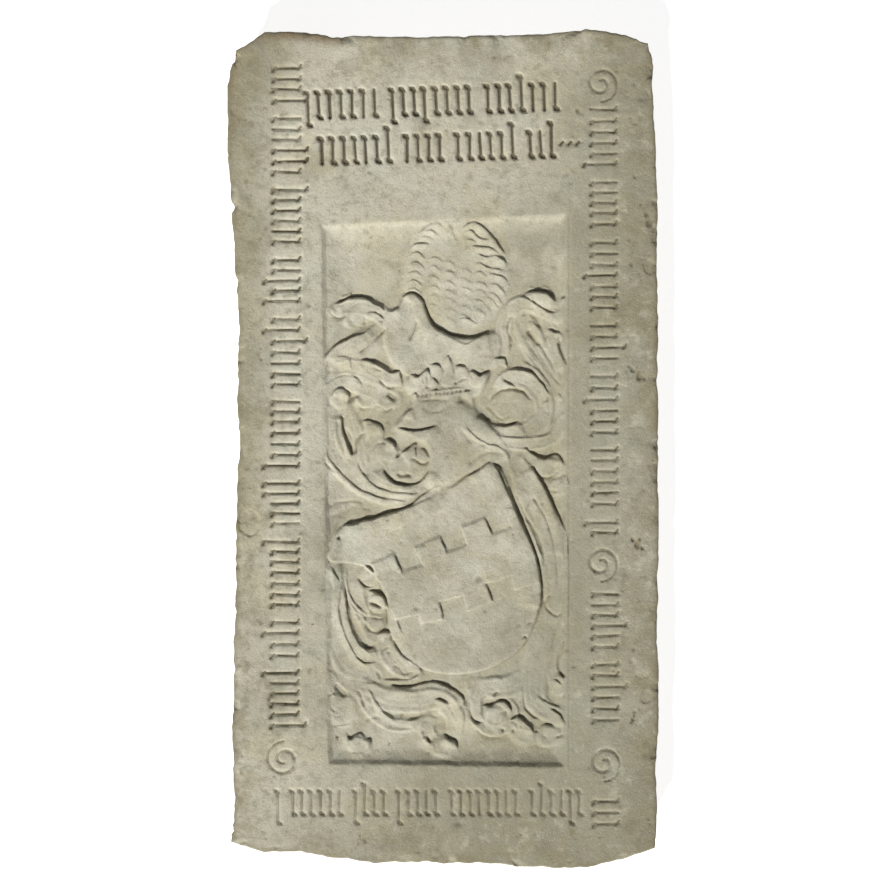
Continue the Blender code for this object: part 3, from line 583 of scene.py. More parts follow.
# %% Edges of the crown, helm and shield
for depth, width, *line in (
    (3, 1, -5, 15.3, -4.3, 15.4, -3.5, 15.2),
    (3, 1, -3.2, 14.5, -2.3, 14.7, -1.3, 14.5),
    (3, 1, 4.5, 14.2, 5.6, 14.5, 6.6, 14.3),
    (4, 1.5, -9, 13, -8, 13.5, -7, 13.8, -6.3, 12.5),
    (7.5, 1.6, -8.3, 18.8, -7.3, 18.5, -6.6, 18.1, -5.4, 18.9, -4.5, 19.7, -4, 19.9, -3.6, 18.9,
     -3.3, 17.8),
    (6.5, 1.6, -3.8, 20.9, -2.5, 21.2, -1.3, 21, -0.5, 20.5),
    (6, 1.6, -3.0, 18.2, -1.9, 16.9, -1.1, 16.2),
    (7, 1.6, 2.4, 20.6, 3.5, 20.8, 4.8, 20.6, 5.8, 20.1),
    (9, 2.0, 6.1, 19.3, 7.3, 19.4, 8.2, 18.9, 9, 18.2, 10, 18.8, 11.5, 19.1),
    (3, 1.5, -0.4, 20.6, 0.1, 22.2, 0.8, 23.3, 1.6, 22.2, 2.3, 20.8),
    (3, 1.2, -8.6, 15, -8.7, 17, -8.3, 18.6),
    (3, 1.2, -5.2, 15.8, -5.4, 17.4, -4.9, 18.8, -3.9, 20.4),
    (3, 1.2, 6.3, 15.6, 6.9, 17.4, 6.4, 19.2),
    (5, 2, -10.3, 7.2, -10, 8.6, -8.5, 9.8, -7.3, 10.2),
    (9, 4, 8, 8.5, 10, 7.3, 12, 6.3, 14, 5.7, 15.5, 5.6, 17.5, 6.2, 19.3, 7.2),
    (7, 3, -12.2, 5.5, -10.5, 5, -8.5, 4.6, -6.5, 4.5, -4.5, 4.9, -3, 5.3, -1.5, 6.2),
    (2.8, 1.4, 5.2, 6, 7, 4, 9, 2.5, 11, 1.3, 13, 0.9, 15, -0.3, 16, -1.5, 16.7, -3.2),
    (7, 4, 5.8, -7, 8.5, -5.4, 10.5, -4, 12.2, -3.1),
    (8, 5, 12.2, -3.1, 13.5, -5.5, 15.5, -9.8, 17.5, -14.3, 19.3, -18.5, 21.5, -23.3, 23, -27,
     24, -31, 24.5, -34.5, 24.5, -38, 24.2, -40.5),
):
    edge(depth, width, *line)
for (ax, ay), (bx, by) in (
    (BAR_UPPER[1], BAR_UPPER[2]), (BAR_UPPER[5], BAR_UPPER[6]), (BAR_UPPER[9], BAR_UPPER[10]),
    (BAR_LOWER[1], BAR_LOWER[0]), (BAR_LOWER[5], BAR_LOWER[4]), (BAR_LOWER[9], BAR_LOWER[8]),
):
    edge(3.5, 0.9, ax, ay, (ax + bx) / 2, (ay + by) / 2, bx, by)
for depth, width, *line in (
    (1.6, 0.4, -5.4, 11.2, -4.4, 9.9, -2.4, 9.3, -0.4, 9.8, 0.8, 10.8),
    (1.4, 0.4, -6.4, 12, -3, 12.4, 1.6, 12.2),
    (4.6, 1.9, 3.2, 13.2, 5.6, 12, 8, 10, 10, 7.8, 11.4, 6.6),
    (1.8, 0.4, 3.8, 5.6, 5.4, 3.6, 7.6, 1.4),
    (1.6, 0.4, 5.2, 4.6, 7.6, 2.0, 10.4, 0.8, 13.2, -0.4),
    (4.5, 0.5, 1.9, 16.2, 3.5, 16.8, 5.6, 18.1),
    (1.5, 0.4, 0, 7.3, 1.5, 7.3),
    (2, 0.5, 3.7, 4.7, 5.5, 3, 7.5, 0.8),
    (2, 0.6, 7.8, 0.2, 9.5, 0.9, 11, 1.2),
    (2.5, 0.8, 6, -4.3, 8, -2.2, 10.5, -1, 13, -0.8, 15.5, -1.5),
):
    groove(depth, width, *line)
HATCHES = 13
chance = np.random.default_rng(29)
for number in range(HATCHES):
    x = -6.2 + 1.05 * number + chance.uniform(-0.15, 0.15)
    y = 13.4 + 0.12 * number + chance.uniform(-0.12, 0.12)
    reach = chance.uniform(0.45, 0.8)
    groove(chance.uniform(2.0, 3.6), 0.4, x - 0.4, y - reach, x + 0.45, y + reach)
print("crown, helm and shield cut")

# %% Edges on the upper right
for depth, width, *line in (
    (8, 3, 20, 38.6, 21.2, 39.3, 23, 39.4, 25.5, 39.2, 26.7, 38.2, 27.7, 37.2, 28.4, 36.9),
    (4, 2.5, 18.3, 37.8, 19.3, 38.1, 20.5, 37.9, 22, 37, 23.5, 36, 25, 35.1, 26.3, 34.3, 27.5, 34.2,
     28.7, 34.7),
    (8, 1.5, 29.2, 37.5, 30, 37.8, 30.6, 37.6),
    (1.5, 1.5, 20.3, 40, 22, 40.6, 23.5, 40.3, 25.2, 40.9, 26.5, 40, 27.5, 38.5),
    (3, 1.5, 21, 31.7, 22, 31.9, 23, 31, 24, 30.4, 24.8, 30.6),
    (8, 2.5, 25.4, 30, 26.5, 30, 27.7, 29.3, 29, 28.9, 29.1, 28.4),
    (6, 3, 28.8, 28.5, 28.7, 26.5, 29, 25, 30, 22.5, 30.8, 19.5),
    (6, 3, 12.1, 23.1, 13.5, 22.7, 15, 22.8, 15.6, 21.8, 15.8, 20.5, 15.4, 20),
    (4.8, 2, 16.2, 19.8, 18.5, 19.8, 20.3, 19.6, 22.3, 18.8, 23.5, 17.7, 25, 16, 25.7, 14.7,
     26.8, 13.5),
    (3, 2, 19.5, 22.3, 21.5, 21.1, 24, 19.3, 25.8, 17.3, 27.2, 14.8),
    (5.5, 1.6, 14.4, 18.4, 15, 17.2, 16.7, 16.3, 18.3, 15.5, 19, 15.3),
    (3, 1.5, 24.6, 11.2, 25.5, 11.9, 26.5, 12),
    (3, 1.5, 28, 13.4, 28.8, 13.8, 29.4, 13, 30, 12),
    (2.4, 1.2, 12.5, 4.2, 14, 3.3, 17, 2.9, 20, 2.8, 22.5, 3.2, 24.5, 4.3, 26, 5.7, 26.5, 7.5),
    (8, 3, 19.8, 0.5, 21.3, -0.5, 23, -1.6, 25, -2.5, 26.3, -2.1, 27.5, -1.3, 28.5, -1.5,
     29.5, -2.8, 29.9, -4.5),
    (7, 2.5, 29, -6.9, 30.3, -6.8, 30.8, -8, 31, -9.5),
    (8, 4, 22, -4, 23.3, -6.5, 24.5, -8.5, 25.8, -11, 27.3, -14, 28.8, -17, 30, -19.7, 30.6, -22,
     30.8, -25, 30.9, -27),
    (4, 2, 20.2, -17, 22, -20.5, 23.5, -24, 24.8, -27.5),
):
    edge(depth, width, *line)
for depth, width, *line in (
    (1.4, 0.6, 15, 30, 15.7, 33, 16, 35, 16.8, 36.4, 18, 37),
    (3.6, 0.45, 17.8, 33.6, 16.5, 32.6, 16, 31, 16.3, 29, 17.6, 26.2),
    (6, 0.6, 28.7, 27.2, 29, 25, 30.2, 22.4, 30.7, 20.6),
    (2.2, 0.4, 21.8, 27.3, 24.8, 22.5, 27.8, 17.7, 29.6, 15.9),
    (2.2, 0.4, 23.6, 27.4, 26, 22.9, 28.6, 18.4),
    (2, 0.4, 19.6, 26, 21.8, 22.6, 25.4, 18.4),
    (3, 0.5, 16.5, 26.5, 17.3, 25.8),
    (1.5, 0.5, 20, 34.3, 21, 33.3),
    (8, 0.8, 20.8, 30.1, 21.8, 28.8, 23, 27.3, 23.9, 25.7),
    (1.5, 0.6, 20.5, 27.5, 23, 24, 25, 21, 26.5, 18.5),
    (1.5, 0.6, 25.3, 25.3, 27, 22, 28.5, 19.5),
    (1.5, 0.6, 21.5, 26, 24, 22.5),
    (4.4, 0.5, 11.6, 11.8, 12.8, 13.6, 15.2, 14.8, 17.6, 15, 20, 14.2, 22, 12.2),
    (3, 0.5, 10.6, 11.2, 12.8, 8.8, 14.6, 7.4, 17, 8.8),
    (1.5, 0.4, 24.8, 9.6, 26, 9.3, 27, 9.2),
    (2, 0.5, 24.3, -7.2, 26.3, -7.2, 27.6, -6.5, 28.9, -5.4),
    (2.5, 0.5, 25.5, -10, 27, -10.6, 28.8, -11.2),
    (1.5, 0.5, 18.5, -0.5, 20.5, -2.5, 22, -4),
    (2, 0.6, 16, -5.8, 17, -8.5, 17.5, -10),
    (3.4, 0.45, 17.9, -11, 20.3, -16.2, 23.4, -21.5, 25, -26.7, 24.8, -29.4),
    (3.2, 0.4, 22.1, -11.8, 25, -16.2, 26.9, -21.5, 27.9, -26.7, 28.4, -32, 28.2, -34.6),
    (2.2, 0.4, 22.1, -11.8, 20.3, -16),
    (2.6, 0.4, 24.2, -7.1, 26.6, -7.1, 29.2, -5.2),
    (2.4, 0.4, 25, -8.4, 27.1, -10.2, 29.2, -11),
    (4.5, 0.5, 27.1, -36.2, 25.6, -37.8, 25.8, -39.9, 28.2, -41.7, 29.7, -40.9),
    (1.6, 0.35, 30.9, -24.6, 31.1, -34, 31, -44, 31, -54),
    (2, 0.5, 30.5, -35, 29, -42, 27, -50),
):
    groove(depth, width, *line)
print("upper right cut")

# %% Edges on the lower left
for depth, width, *line in (
    (4, 2, -28.3, -29, -27.5, -31, -26.5, -32.5, -25.6, -33.7),
    (4, 3, -24.3, -29.3, -24.3, -33, -23.8, -36, -22.5, -38.5, -21, -40, -19.2, -41.5),
    (8, 2.5, -20, -28.9, -19, -29.8, -18, -30.5, -17, -31.3),
    (3, 1.5, -17, -31.3, -16.4, -32.3, -16, -33.6),
    (3, 2, -22, -31.8, -20.8, -33.7, -19.5, -34.5, -18, -34.6, -16.8, -34.2),
    (9, 3, -19.3, -35.5, -17.5, -35.8, -16, -36.6, -14.8, -37.6, -14.3, -39, -14.1, -40.5),
    (10, 3, -17, -46.8, -15.8, -46, -14.5, -45.8, -13.5, -46.3, -13, -47),
    (5.5, 1.6, -13, -47, -12, -49.3, -10.4, -51.6, -8.2, -53.4, -6.2, -54.8, -6, -56, -6.6, -57),
    (8.5, 2.4, -24.7, -34, -24.6, -37, -24.2, -41, -23.3, -44.5, -22.2, -47.3, -21.2, -49,
     -19.8, -50, -18.3, -50.1, -17, -49.4),
    (5, 1.1, -25.5, -33.2, -26.2, -37.5, -26.3, -41, -25.5, -44.8, -24, -48.5, -22.3, -51.3,
     -20.9, -53, -19.5, -53.7, -18, -53.6, -16.3, -53.2),
    (3.5, 1.1, -15.7, -57.9, -12, -57.9, -9, -57.9, -7, -57, -6.1, -56, -6, -55),
    (1.5, 1.5, -21, -58.1, -18.5, -58.7, -16, -58.5),
    (7.5, 3, -13.8, -59, -12, -59.6, -10, -59.8, -8, -59.5, -6, -59, -4, -58.5, -2, -58.5, 0, -59.2,
     2, -60.2, 3.8, -61.5, 4.9, -62.8, 5.1, -64.5),
    (2, 2, 5.1, -64.5, 5.1, -67, 5, -69),
    (8, 2.5, -2.6, -62.9, -1.3, -62.8, 0, -63.3, 1.7, -64.2),
    (3, 2, -10.1, -68.2, -8, -68, -6, -67.2, -4.3, -66.3),
    (2.6, 1.2, -19.5, -59.5, -18.3, -61, -17.2, -63, -15.8, -65, -14.5, -66.5, -12.5, -67.8,
     -11.5, -68.3),
    (4, 1.5, -29, -62, -28, -61.5, -27.2, -60.9),
    (2, 2, -28.5, -69.7, -26.5, -69.4, -24.5, -69.1, -22.8, -68.3),
    (5, 1.8, -24, -71, -24.1, -72.2, -23.5, -72.8, -22.8, -72.4, -22, -71.6, -21, -71.3,
     -20.2, -71.8, -19.6, -72.6),
    (7, 1.8, -19.6, -72.8, -18.6, -73, -17.7, -73.7),
    (3, 1.5, -23.8, -75.7, -22, -76.3, -20.5, -76.3, -19.3, -76),
    (7, 1.8, -4.3, -71.8, -4, -73, -3.3, -73.5, -2.8, -72.9),
    (7, 2, -0.6, -71, 0.5, -72, 1.3, -72.8, 2.5, -73.2, 3.2, -74.2, 3.4, -75.5),
):
    edge(depth, width, *line)
for depth, width, *line in (
    (2, 0.5, -29, -26.5, -28.6, -28, -27.5, -27.5, -27, -26),
    (3, 0.7, -27, -29, -25.7, -28.8, -24, -28.2),
    (3, 0.6, -14.3, -40.5, -14.2, -42, -14.5, -44, -15.2, -44.8, -17, -45.4),
    (2, 0.4, -17.8, -42, -16.5, -42.6, -14.8, -42.4),
    (5, 0.8, -20, -42.5, -19, -41.8),
    (3, 0.6, -19.8, -43, -19.2, -44.6, -18, -45.8),
    (4, 0.6, -16.8, -55.5, -16.2, -56.8, -15.7, -57.9),
    (2, 0.5, -14.3, -50.8, -13, -51.2),
    (2.4, 0.4, -12.6, -53.9, -10.8, -55.2, -10, -56.4, -7.4, -55.7),
    (2.2, 0.4, -15.9, -51.6, -15.2, -50.4, -14.2, -49.6, -13.2, -50.2),
    (2.6, 0.4, -24.2, -36, -22.6, -39.6, -19.4, -42),
    (2.2, 0.4, -24.6, -37.4, -23, -40.4, -20.2, -42.4),
    (2.6, 0.4, -18.8, -40, -19.2, -41.2, -18.2, -42.2, -14.8, -42.4),
    (2.8, 0.4, -19.8, -43.6, -19.2, -45, -17.6, -45.9, -15.6, -45.4, -14.4, -44.2),
    (2.6, 0.4, -21.6, -32, -20, -34.2, -18, -34.6, -16.8, -34),
    (6, 0.6, -19.2, -38.1, -17.2, -38.9, -14.9, -40.0),
    (2, 0.5, -12.5, -54, -11.8, -54.8),
    (2, 0.5, -10.3, -56, -8.5, -55.8),
    (2, 0.5, -3, -65, -3.2, -66, -2.5, -67, -1, -67),
    (2.5, 1, -4, -67.5, -5, -69),
    (3, 0.5, -21.8, -60, -20.8, -61.8, -20.2, -63.5, -20, -65),
    (2, 0.7, -19, -61, -18, -64, -17.3, -66),
    (2, 0.6, -20.5, -68.7, -19, -67.8, -17, -67, -15.5, -67.8),
    (1.5, 1, -15.5, -68, -13, -69.3, -10, -70, -8, -69.8),
    (9, 1, -27.4, -58.4, -26, -60.3, -24.3, -62.4),
    (1.5, 0.4, -28.5, -64, -27.8, -65.2, -26.5, -66),
    (2, 0.5, -29, -66.4, -27.8, -66.4),
    (3, 0.8, -27.2, -72.3, -26.3, -72.2),
    (2, 0.6, -2.3, -72.6, -0.5, -72.6),
    (2, 0.5, 0.3, -76.4, 1.5, -75.8),
    (2, 0.4, -4, -75.8, -3.5, -76.3),
):
    groove(depth, width, *line)
print("lower left cut")

# %% Edges on the lower right
for depth, width, *line in (
    (6, 2.5, 6.5, -63.3, 6.4, -65.5, 6.9, -67.2, 7.8, -68.2, 8.8, -68.8, 9.8, -68.3),
    (8, 2.5, 9.3, -64.4, 10.5, -64.2, 12, -64.4, 12.6, -63.7, 14, -63.2, 15.3, -63.4, 16.3, -64.3,
     16.8, -65.5, 16.7, -66.5),
    (8, 3, 16, -68, 17, -67.6, 18.3, -67, 19.5, -67.6, 20.8, -68.8, 22, -70, 22.7, -71.5),
    (5, 2, 23.9, -69.6, 25.2, -69, 26.5, -69.2, 28, -69.8),
    (3, 2.5, 19.8, -57, 19.7, -60, 19.8, -63, 20.3, -65, 21.3, -66.3, 22.5, -67.3, 24.5, -68),
    (2.5, 2, 22.8, -61.3, 24, -62.2, 25, -63, 25.8, -63.4, 27, -64, 28.5, -64.5, 30, -64.3),
    (6, 2.5, 26.3, -64.8, 28, -65.8, 29.3, -66.8, 30, -68.3, 30.2, -70),
    (8, 2, 28.8, -55.7, 29.5, -56.8, 30.7, -57.5),
    (5, 1.6, 26.9, -57.6, 28.4, -58, 29.8, -59.6),
):
    edge(depth, width, *line)
for depth, width, *line in (
    (1.5, 1, 6.2, -60.2, 7, -58.8, 8.3, -57.3, 10, -57.3, 11.5, -57, 13, -56.8),
    (4, 0.6, 9.8, -62.4, 10.8, -61.6),
    (4, 0.6, 12.3, -62.2, 13, -61.3, 13.8, -60.5),
    (1.5, 0.5, 15.2, -65.2, 15.8, -66.5, 16, -67.8, 15, -69, 13.5, -70),
    (2.5, 0.6, 8, -70, 9.3, -71.3, 11, -72.3, 13, -72.3, 15, -71.7, 16, -71),
    (3, 0.5, 16, -68.3, 17.5, -68.2, 18.3, -69, 18.8, -70),
    (2, 0.4, 19.2, -68.8, 19.8, -69.8),
    (2, 0.4, 20.5, -69.3, 21.3, -70.2),
    (4, 0.9, 14.5, -70.8, 15.2, -70),
    (3, 0.6, 16.8, -70.7, 17.8, -70.4),
    (1.5, 0.4, 24.6, -71, 25.2, -72, 26, -72.3),
    (4, 0.5, 27.8, -72.3, 29, -71.9, 30.3, -71.2),
    (1.5, 0.4, 23.2, -73.5, 23.7, -74.8, 25.5, -75, 27.5, -74.6, 28.5, -74),
    (4, 0.8, 23.3, -71, 23.5, -70.3),
    (6, 0.6, 30.2, -47.6, 29, -51.5, 28.9, -55, 30.6, -57.4),
    (5, 0.6, 6.6, -62.6, 6.3, -65.4, 7.2, -67.9, 9.5, -68.8),
    (7, 0.8, 29.8, -61.2, 30.3, -61.6, 30.8, -62.5),
    (5, 0.8, 20.3, -46.5, 20.6, -47.5),
    (3, 1.2, 21.3, -43.2, 21.7, -43.8),
    (3, 1.2, 25.3, -38, 25.7, -38.5),
):
    groove(depth, width, *line)
print("lower right cut")

# %% [markdown]
# ## Where the carving is worn away
# On the real slab feet have rubbed out the middle of the shield's top edge. A blurred copy of the
# relief takes its place there, under a round soft mask, because wear has no outline of its own.

# %% Worn part of the shield's top edge
WORN_X, WORN_Y = -0.6, -10.8
WORN_HALF_WIDTH, WORN_HALF_HEIGHT = 4.6, 3.4
across = (grid_x - WORN_X) / WORN_HALF_WIDTH
up = (grid_y - WORN_Y) / WORN_HALF_HEIGHT
worn_away = np.exp(-(across ** 2 + up ** 2))
lift += worn_away * (blur(lift, 1.1) - lift)
crisp *= 1 - 0.85 * worn_away
print("worn away", round(float((worn_away > 0.5).sum()) * CELL * CELL), "cm2")

# %% [markdown]
# ## The panel sinks into the face
# The relief so far is a height over a floor. Now the floor goes 18 mm below the face inside the
# panel. Its walls are steep at the top and run out in a wide slope, and the relief is held just
# below the face, as on the real slab, where the carver had no stone to stand above it.

# %% Panel walls and relief
PANEL = ((-29.2, -79.0), (30.8, -80.0), (30.8, 59.0), (-31.0, 56.2))
FLOOR_DEPTH = 18.0
STEEP_WIDTH = 1.6
STEEP_SHARE = 0.45
SLOPE_WIDTH = 5.5
KNEE = 0.75
panel_line = np.array([*PANEL, PANEL[0]])
panel_area, panel_gap, *_ = measure(panel_line, 45.0)
panel_inside = np.full(grid_x.shape, FAR_OUT)
panel_inside[panel_area] = np.where(inside(panel_line[:-1], panel_area), panel_gap, -panel_gap)
panel_inside += 0.12 * soft_noise(3.0, 21)
at_foot = ease((-68 - grid_y) / 8)
at_right = ease((grid_x - 20) / 8)
slope_width = SLOPE_WIDTH - 2.0 * at_right * (1 - at_foot) - 1.2 * at_foot
walls = STEEP_SHARE * ease(panel_inside / STEEP_WIDTH)
walls += (1 - STEEP_SHARE) * ease(panel_inside / slope_width)
inner = ease(panel_inside / 1.2)
relief = np.maximum(lift + crisp, -2.0)
room = np.maximum(FLOOR_DEPTH * walls - 0.6, 0.1)
knee = KNEE * room
held = knee + (room - knee) * np.tanh((relief - knee) / (room - knee))
relief = np.where(relief > knee, held, relief)
height = relief * inner - FLOOR_DEPTH * walls
print("panel", round(float(walls.sum()) * CELL * CELL / 1e4, 2), "m2")

# %% [markdown]
# ## Rows of strokes on the border
# The rows have the rhythm of carved lines but say nothing: straight V-cut strokes, each with a
# slanted head and foot, some of them longer, with gaps between groups, and a plain spiral where a
# row begins. Three small diamonds close the second row, and a thin scribed line runs beside the
# panel. Each stroke is cut only in the small window of the grid round it, so hundreds of them cost
# little.

# %% One V-cut stroke
STROKE_DEPTH = 7.5
cuts = np.zeros(grid_x.shape)


def stroke(start_x, start_y, end_x, end_y, width, depth, heads=0.0):
    """A V cut from one point to another. Heads above 0 put a diamond at each end."""
    line = np.array([[start_x, start_y], [end_x, end_y]])
    area = window(line, width + heads)
    px = grid_x[area]
    py = grid_y[area]
    run = line[1] - line[0]
    length = np.hypot(*run)
    run = run / length
    along = (px - start_x) * run[0] + (py - start_y) * run[1]
    across = np.abs((px - start_x) * -run[1] + (py - start_y) * run[0])
    past = np.maximum(np.maximum(-along, along - length), 0)
    body = 1 - (across + past) / (width / 2)
    for x, y in line:
        spread = np.abs(px - x) + np.abs(py - y)
        body = np.maximum(body, 1 - spread / max(heads, 0.01))
    cuts[area] = np.maximum(cuts[area], depth * np.clip(body, 0, 1))


# %% Rows of strokes
# Each row has a start, a heading, a length, then the size, pitch, width and depth of its strokes.
ROWS = (
    (-34, 86, 2.1, 66, 6.8, 2.7, 1.7, 9.5),
    (-30.5, 74.6, 1.8, 58, 6.6, 2.7, 1.7, 9.5),
    (-39.8, -69, 89.8, 165, 7.0, 2.65, 1.4, 8.3),
    (40, 85, -89.8, 180, 6.6, 2.7, 1.25, 7.2),
    (34, -88.4, 180, 77, 6.2, 2.3, 1.25, 6.8),
)
FLOURISHES = ((-40, -77.5, 90), (39.4, 91.5, -90), (39.4, -28.5, -90), (40.2, -78.5, -90))
FLOURISH_REACH = 6.5
SERIF = 0.75
STEM_WIDTH = 0.84
STEM_DEPTH = 0.9
SERIF_WIDTH = 1.15
chance = np.random.default_rng(5)


def cut_row(x, y, heading, length, size, pitch, width, deep):
    """A row of strokes with a slanted head and foot, standing apart in groups. Some are longer."""
    turn = math.radians(heading)

    def spot(along, up):
        return (x + math.cos(turn) * along - math.sin(turn) * up,
                y + math.sin(turn) * along + math.cos(turn) * up)

    along = 0.0
    group = int(chance.integers(4, 9))
    half = size / 2
    count = 0
    while along < length:
        kind = chance.random()
        lean = chance.uniform(-0.12, 0.12)
        head = half + (2.2 if kind > 0.9 else 0)
        foot = -half - (1.8 if 0.8 < kind < 0.9 else 0)
        middle = spot(along, 0)
        if min(math.dist(middle, place[:2]) for place in FLOURISHES) > FLOURISH_REACH:
            wide = width * chance.uniform(0.9, 1.1)
            cut_depth = deep * chance.uniform(0.85, 1.05)
            stem = (*spot(along + lean, head), *spot(along - lean, foot))
            stroke(*stem, STEM_WIDTH * wide, STEM_DEPTH * cut_depth)
            if kind > 0.12:
                slant = (*spot(along - SERIF, head), *spot(along + 0.2, head - SERIF))
                stroke(*slant, SERIF_WIDTH * wide, cut_depth)
            if kind < 0.12 or kind > 0.24:
                slant = (*spot(along - 0.2, foot + SERIF), *spot(along + SERIF, foot))
                stroke(*slant, SERIF_WIDTH * wide, cut_depth)
        along += pitch * chance.uniform(0.93, 1.08)
        count += 1
        if count == group:
            along += 0.7 * pitch
            count = 0
            group = int(chance.integers(4, 9))


for row in ROWS:
    cut_row(*row)
for x in (29.2, 31.2, 33.2):
    stroke(x, 76.2, x + 0.6, 76.8, 1.3, STROKE_DEPTH, heads=1.0)
for scribed in ((31.5, 58.6, 31.3, -20), (31.3, -20, 31.4, -79.6)):
    stroke(*scribed, 0.5, 1.7)
print("strokes cover", round(float((cuts > 0.5).sum()) * CELL * CELL), "cm2")

# %% Flourishes where the rows begin
SPIRAL_STEPS = 30
SPIRAL_DEGREES = 560
SPIRAL_RADIUS = 4.6
SPIRAL_DEPTH = 5.5


def flourish(x, y, turn):
    """A spiral, larger than the strokes beside it and thickest at half its length."""
    shares = np.linspace(0, 1, SPIRAL_STEPS + 1)
    angles = np.radians(turn + SPIRAL_DEGREES * shares)
    radii = SPIRAL_RADIUS - 3.8 * shares
    points = list(zip(x + radii * np.cos(angles), y + radii * np.sin(angles)))
    for share, start, end in zip(shares, points, points[1:]):
        stroke(*start, *end, 0.7 + 0.7 * math.sin(math.pi * share), SPIRAL_DEPTH)


for place in FLOURISHES:
    flourish(*place)
height = height - cuts * (1 - inner)
print("strokes cut to", round(float(cuts.max()), 1), "mm")

# %% [markdown]
# ## Weathering
# Six centuries of feet and rain leave a stone face that is nowhere flat. The whole field is blurred
# by about a millimetre to take the machine edge off it, then it gets a broad wave, a fine tooth,
# scattered pits, a few flakes that broke away, and a few scratches.

# %% Wear, waves and rough ground
ROUGH_GROUND = (
    (-3.5, -13.5, 5), (0, 15, 7), (25, 34, 6), (-24, 34, 5), (-9, -4, 5), (22, -70, 7),
    (-20, -73, 6), (0, -73, 6), (11, -66, 6), (-17, -40, 4), (3, -50, 6), (-1.5, -11, 4),
)
height = blur(height, 0.09)
carving = lift + np.clip(crisp, -6, 12) - cuts * (1 - inner)
hollow = blur(carving, 0.42) - carving
basin = blur(carving, 2.6) - blur(carving, 0.5)
waves = 0.55 * soft_noise(22, 31) + 0.35 * soft_noise(7, 32) + 0.22 * soft_noise(2.2, 33)
tooth = 0.16 * soft_noise(0.8, 34)
rough_share = 0.45 * ease(0.3 + 1.2 * soft_noise(9, 35)) * walls
for x, y, size in ROUGH_GROUND:
    rough_share += 1.3 * np.exp(-((grid_x - x) ** 2 + (grid_y - y) ** 2) / size ** 2) * walls
rubble = 0.55 * soft_noise(0.9, 36) + 0.4 * soft_noise(1.8, 37)
height += waves + tooth * 1.8 + rough_share * rubble
print("rough ground", round(float((rough_share > 0.5).sum()) * CELL * CELL), "cm2")

# %% Pits, flakes and scratches
PIT_COUNT = 420
SCRATCH_COUNT = 34
SET_PITS = (
    (51.5, 56.5, 1.2, 5), (50.8, 58.6, 0.8, 3), (47, 46.2, 0.7, 2.5), (47.3, -67.7, 0.6, 5),
    (47.6, -66.7, 0.45, 4), (47.0, -68.4, 0.45, 4), (47.8, -65.8, 0.6, 3), (47.6, -50.2, 0.6, 2.5),
    (47.8, 68, 0.5, 2.2), (-19.7, -98, 0.7, 2.5), (-21, -96.6, 0.5, 2), (47.3, -22.6, 0.6, 5),
    (48.4, -24.0, 0.9, 6), (49.7, -24.7, 0.6, 5), (49.1, -22.5, 0.5, 4), (47.2, 19.8, 0.7, 5),
    (49.0, 17.9, 0.9, 6), (50.2, 17.6, 0.5, 4), (46.4, 20.6, 0.4, 3), (-45.6, 22.4, 0.6, 3),
    (-43.7, -62.5, 0.7, 3), (-26.6, -72.2, 0.5, 2.5), (-13.7, -73.8, 0.45, 2.5),
    (33.5, 84.5, 0.7, 3),
)
FLAKES = (
    (-48.7, -18.4, 2.7, 3.2), (-50.5, -16.6, 1.6, 2.4), (51.5, 45.5, 1.5, 2.4), (50.6, -62, 1.3, 2),
)


def round_spot(x, y, size, reach=1.5, squash=0.8):
    """The grid round a point, and its distance from the point counted in the spot's own size."""
    area = window(np.array([[x, y]]), size * reach)
    return area, np.hypot(wobble_x[area] - x, (wobble_y[area] - y) * squash) / size


pits = np.zeros(grid_x.shape)
chance = np.random.default_rng(8)
for number in range(PIT_COUNT):
    x = chance.uniform(xs[0], xs[-1])
    y = chance.uniform(ys[0], ys[-1])
    if chance.random() < 0.45:
        x = math.copysign(HALF_WIDTH - abs(chance.normal(0, 7)), x)
    size = chance.uniform(0.25, 0.75) * (1.6 if chance.random() < 0.06 else 1.0)
    area = window(np.array([[x, y]]), size * 1.5)
    gap = np.hypot((grid_x[area] - x) * chance.uniform(0.6, 1), grid_y[area] - y) / size
    deep = chance.uniform(0.5, 1.8) * (1.8 if size > 0.8 else 1.0)
    pits[area] = np.maximum(pits[area], deep * ease(1.1 - gap))
for x, y, size, deep in SET_PITS:
    area, gap = round_spot(x, y, size)
    pits[area] = np.maximum(pits[area], deep * ease(1.1 - gap))
for x, y, size, deep in FLAKES:
    area, gap = round_spot(x, y, size)
    height[area] -= deep * ease((1.1 - gap) * 6) * (1 + 1.5 * tooth[area])
height -= pits
for number in range(SCRATCH_COUNT):
    x = chance.uniform(xs[0], xs[-1])
    y = chance.uniform(ys[0], ys[-1])
    turn = chance.uniform(0, math.pi)
    run = chance.uniform(3, 13)
    line = np.array([[x, y], [x + run * math.cos(turn), y + run * math.sin(turn)]])
    area, gap, _, along = measure(line, 0.5)
    height[area] -= 0.35 * np.exp(-(gap / 0.16) ** 2) * tapered(along, run, 2)
print("face", round(float(height.min()), 1), "to", round(float(height.max()), 1), "mm")

# %% [markdown]
# ## The broken outline
# The slab has lost stone all round, most at its foot corners and at the upper left one.
# The losses are set out as distances from a full rectangle. Only the outer 12 cm of the grid are
# drawn in to meet them, so the carving stays where it is.

# %% Losses along each side, in millimetres
LEFT_LOSS = (12, 18, 14, 15, 20, 25, 25, 30, 27, 30, 15, 14, 0, 0, 24)
RIGHT_LOSS = (10, 5, 5, 2, 5, 2, 0, 2, 2, 2, 5, 5, 7, 17, 15)
FOOT_LOSS = (65, 40, 43, 27, 18, 18, 10, 16, 6, 2, 2, 21, 52)
HEAD_LOSS = (52, 8, 8, 15, 18, 20, 20, 17, 17, 12, 0, 12, 28)
DRAW_IN = 12.0


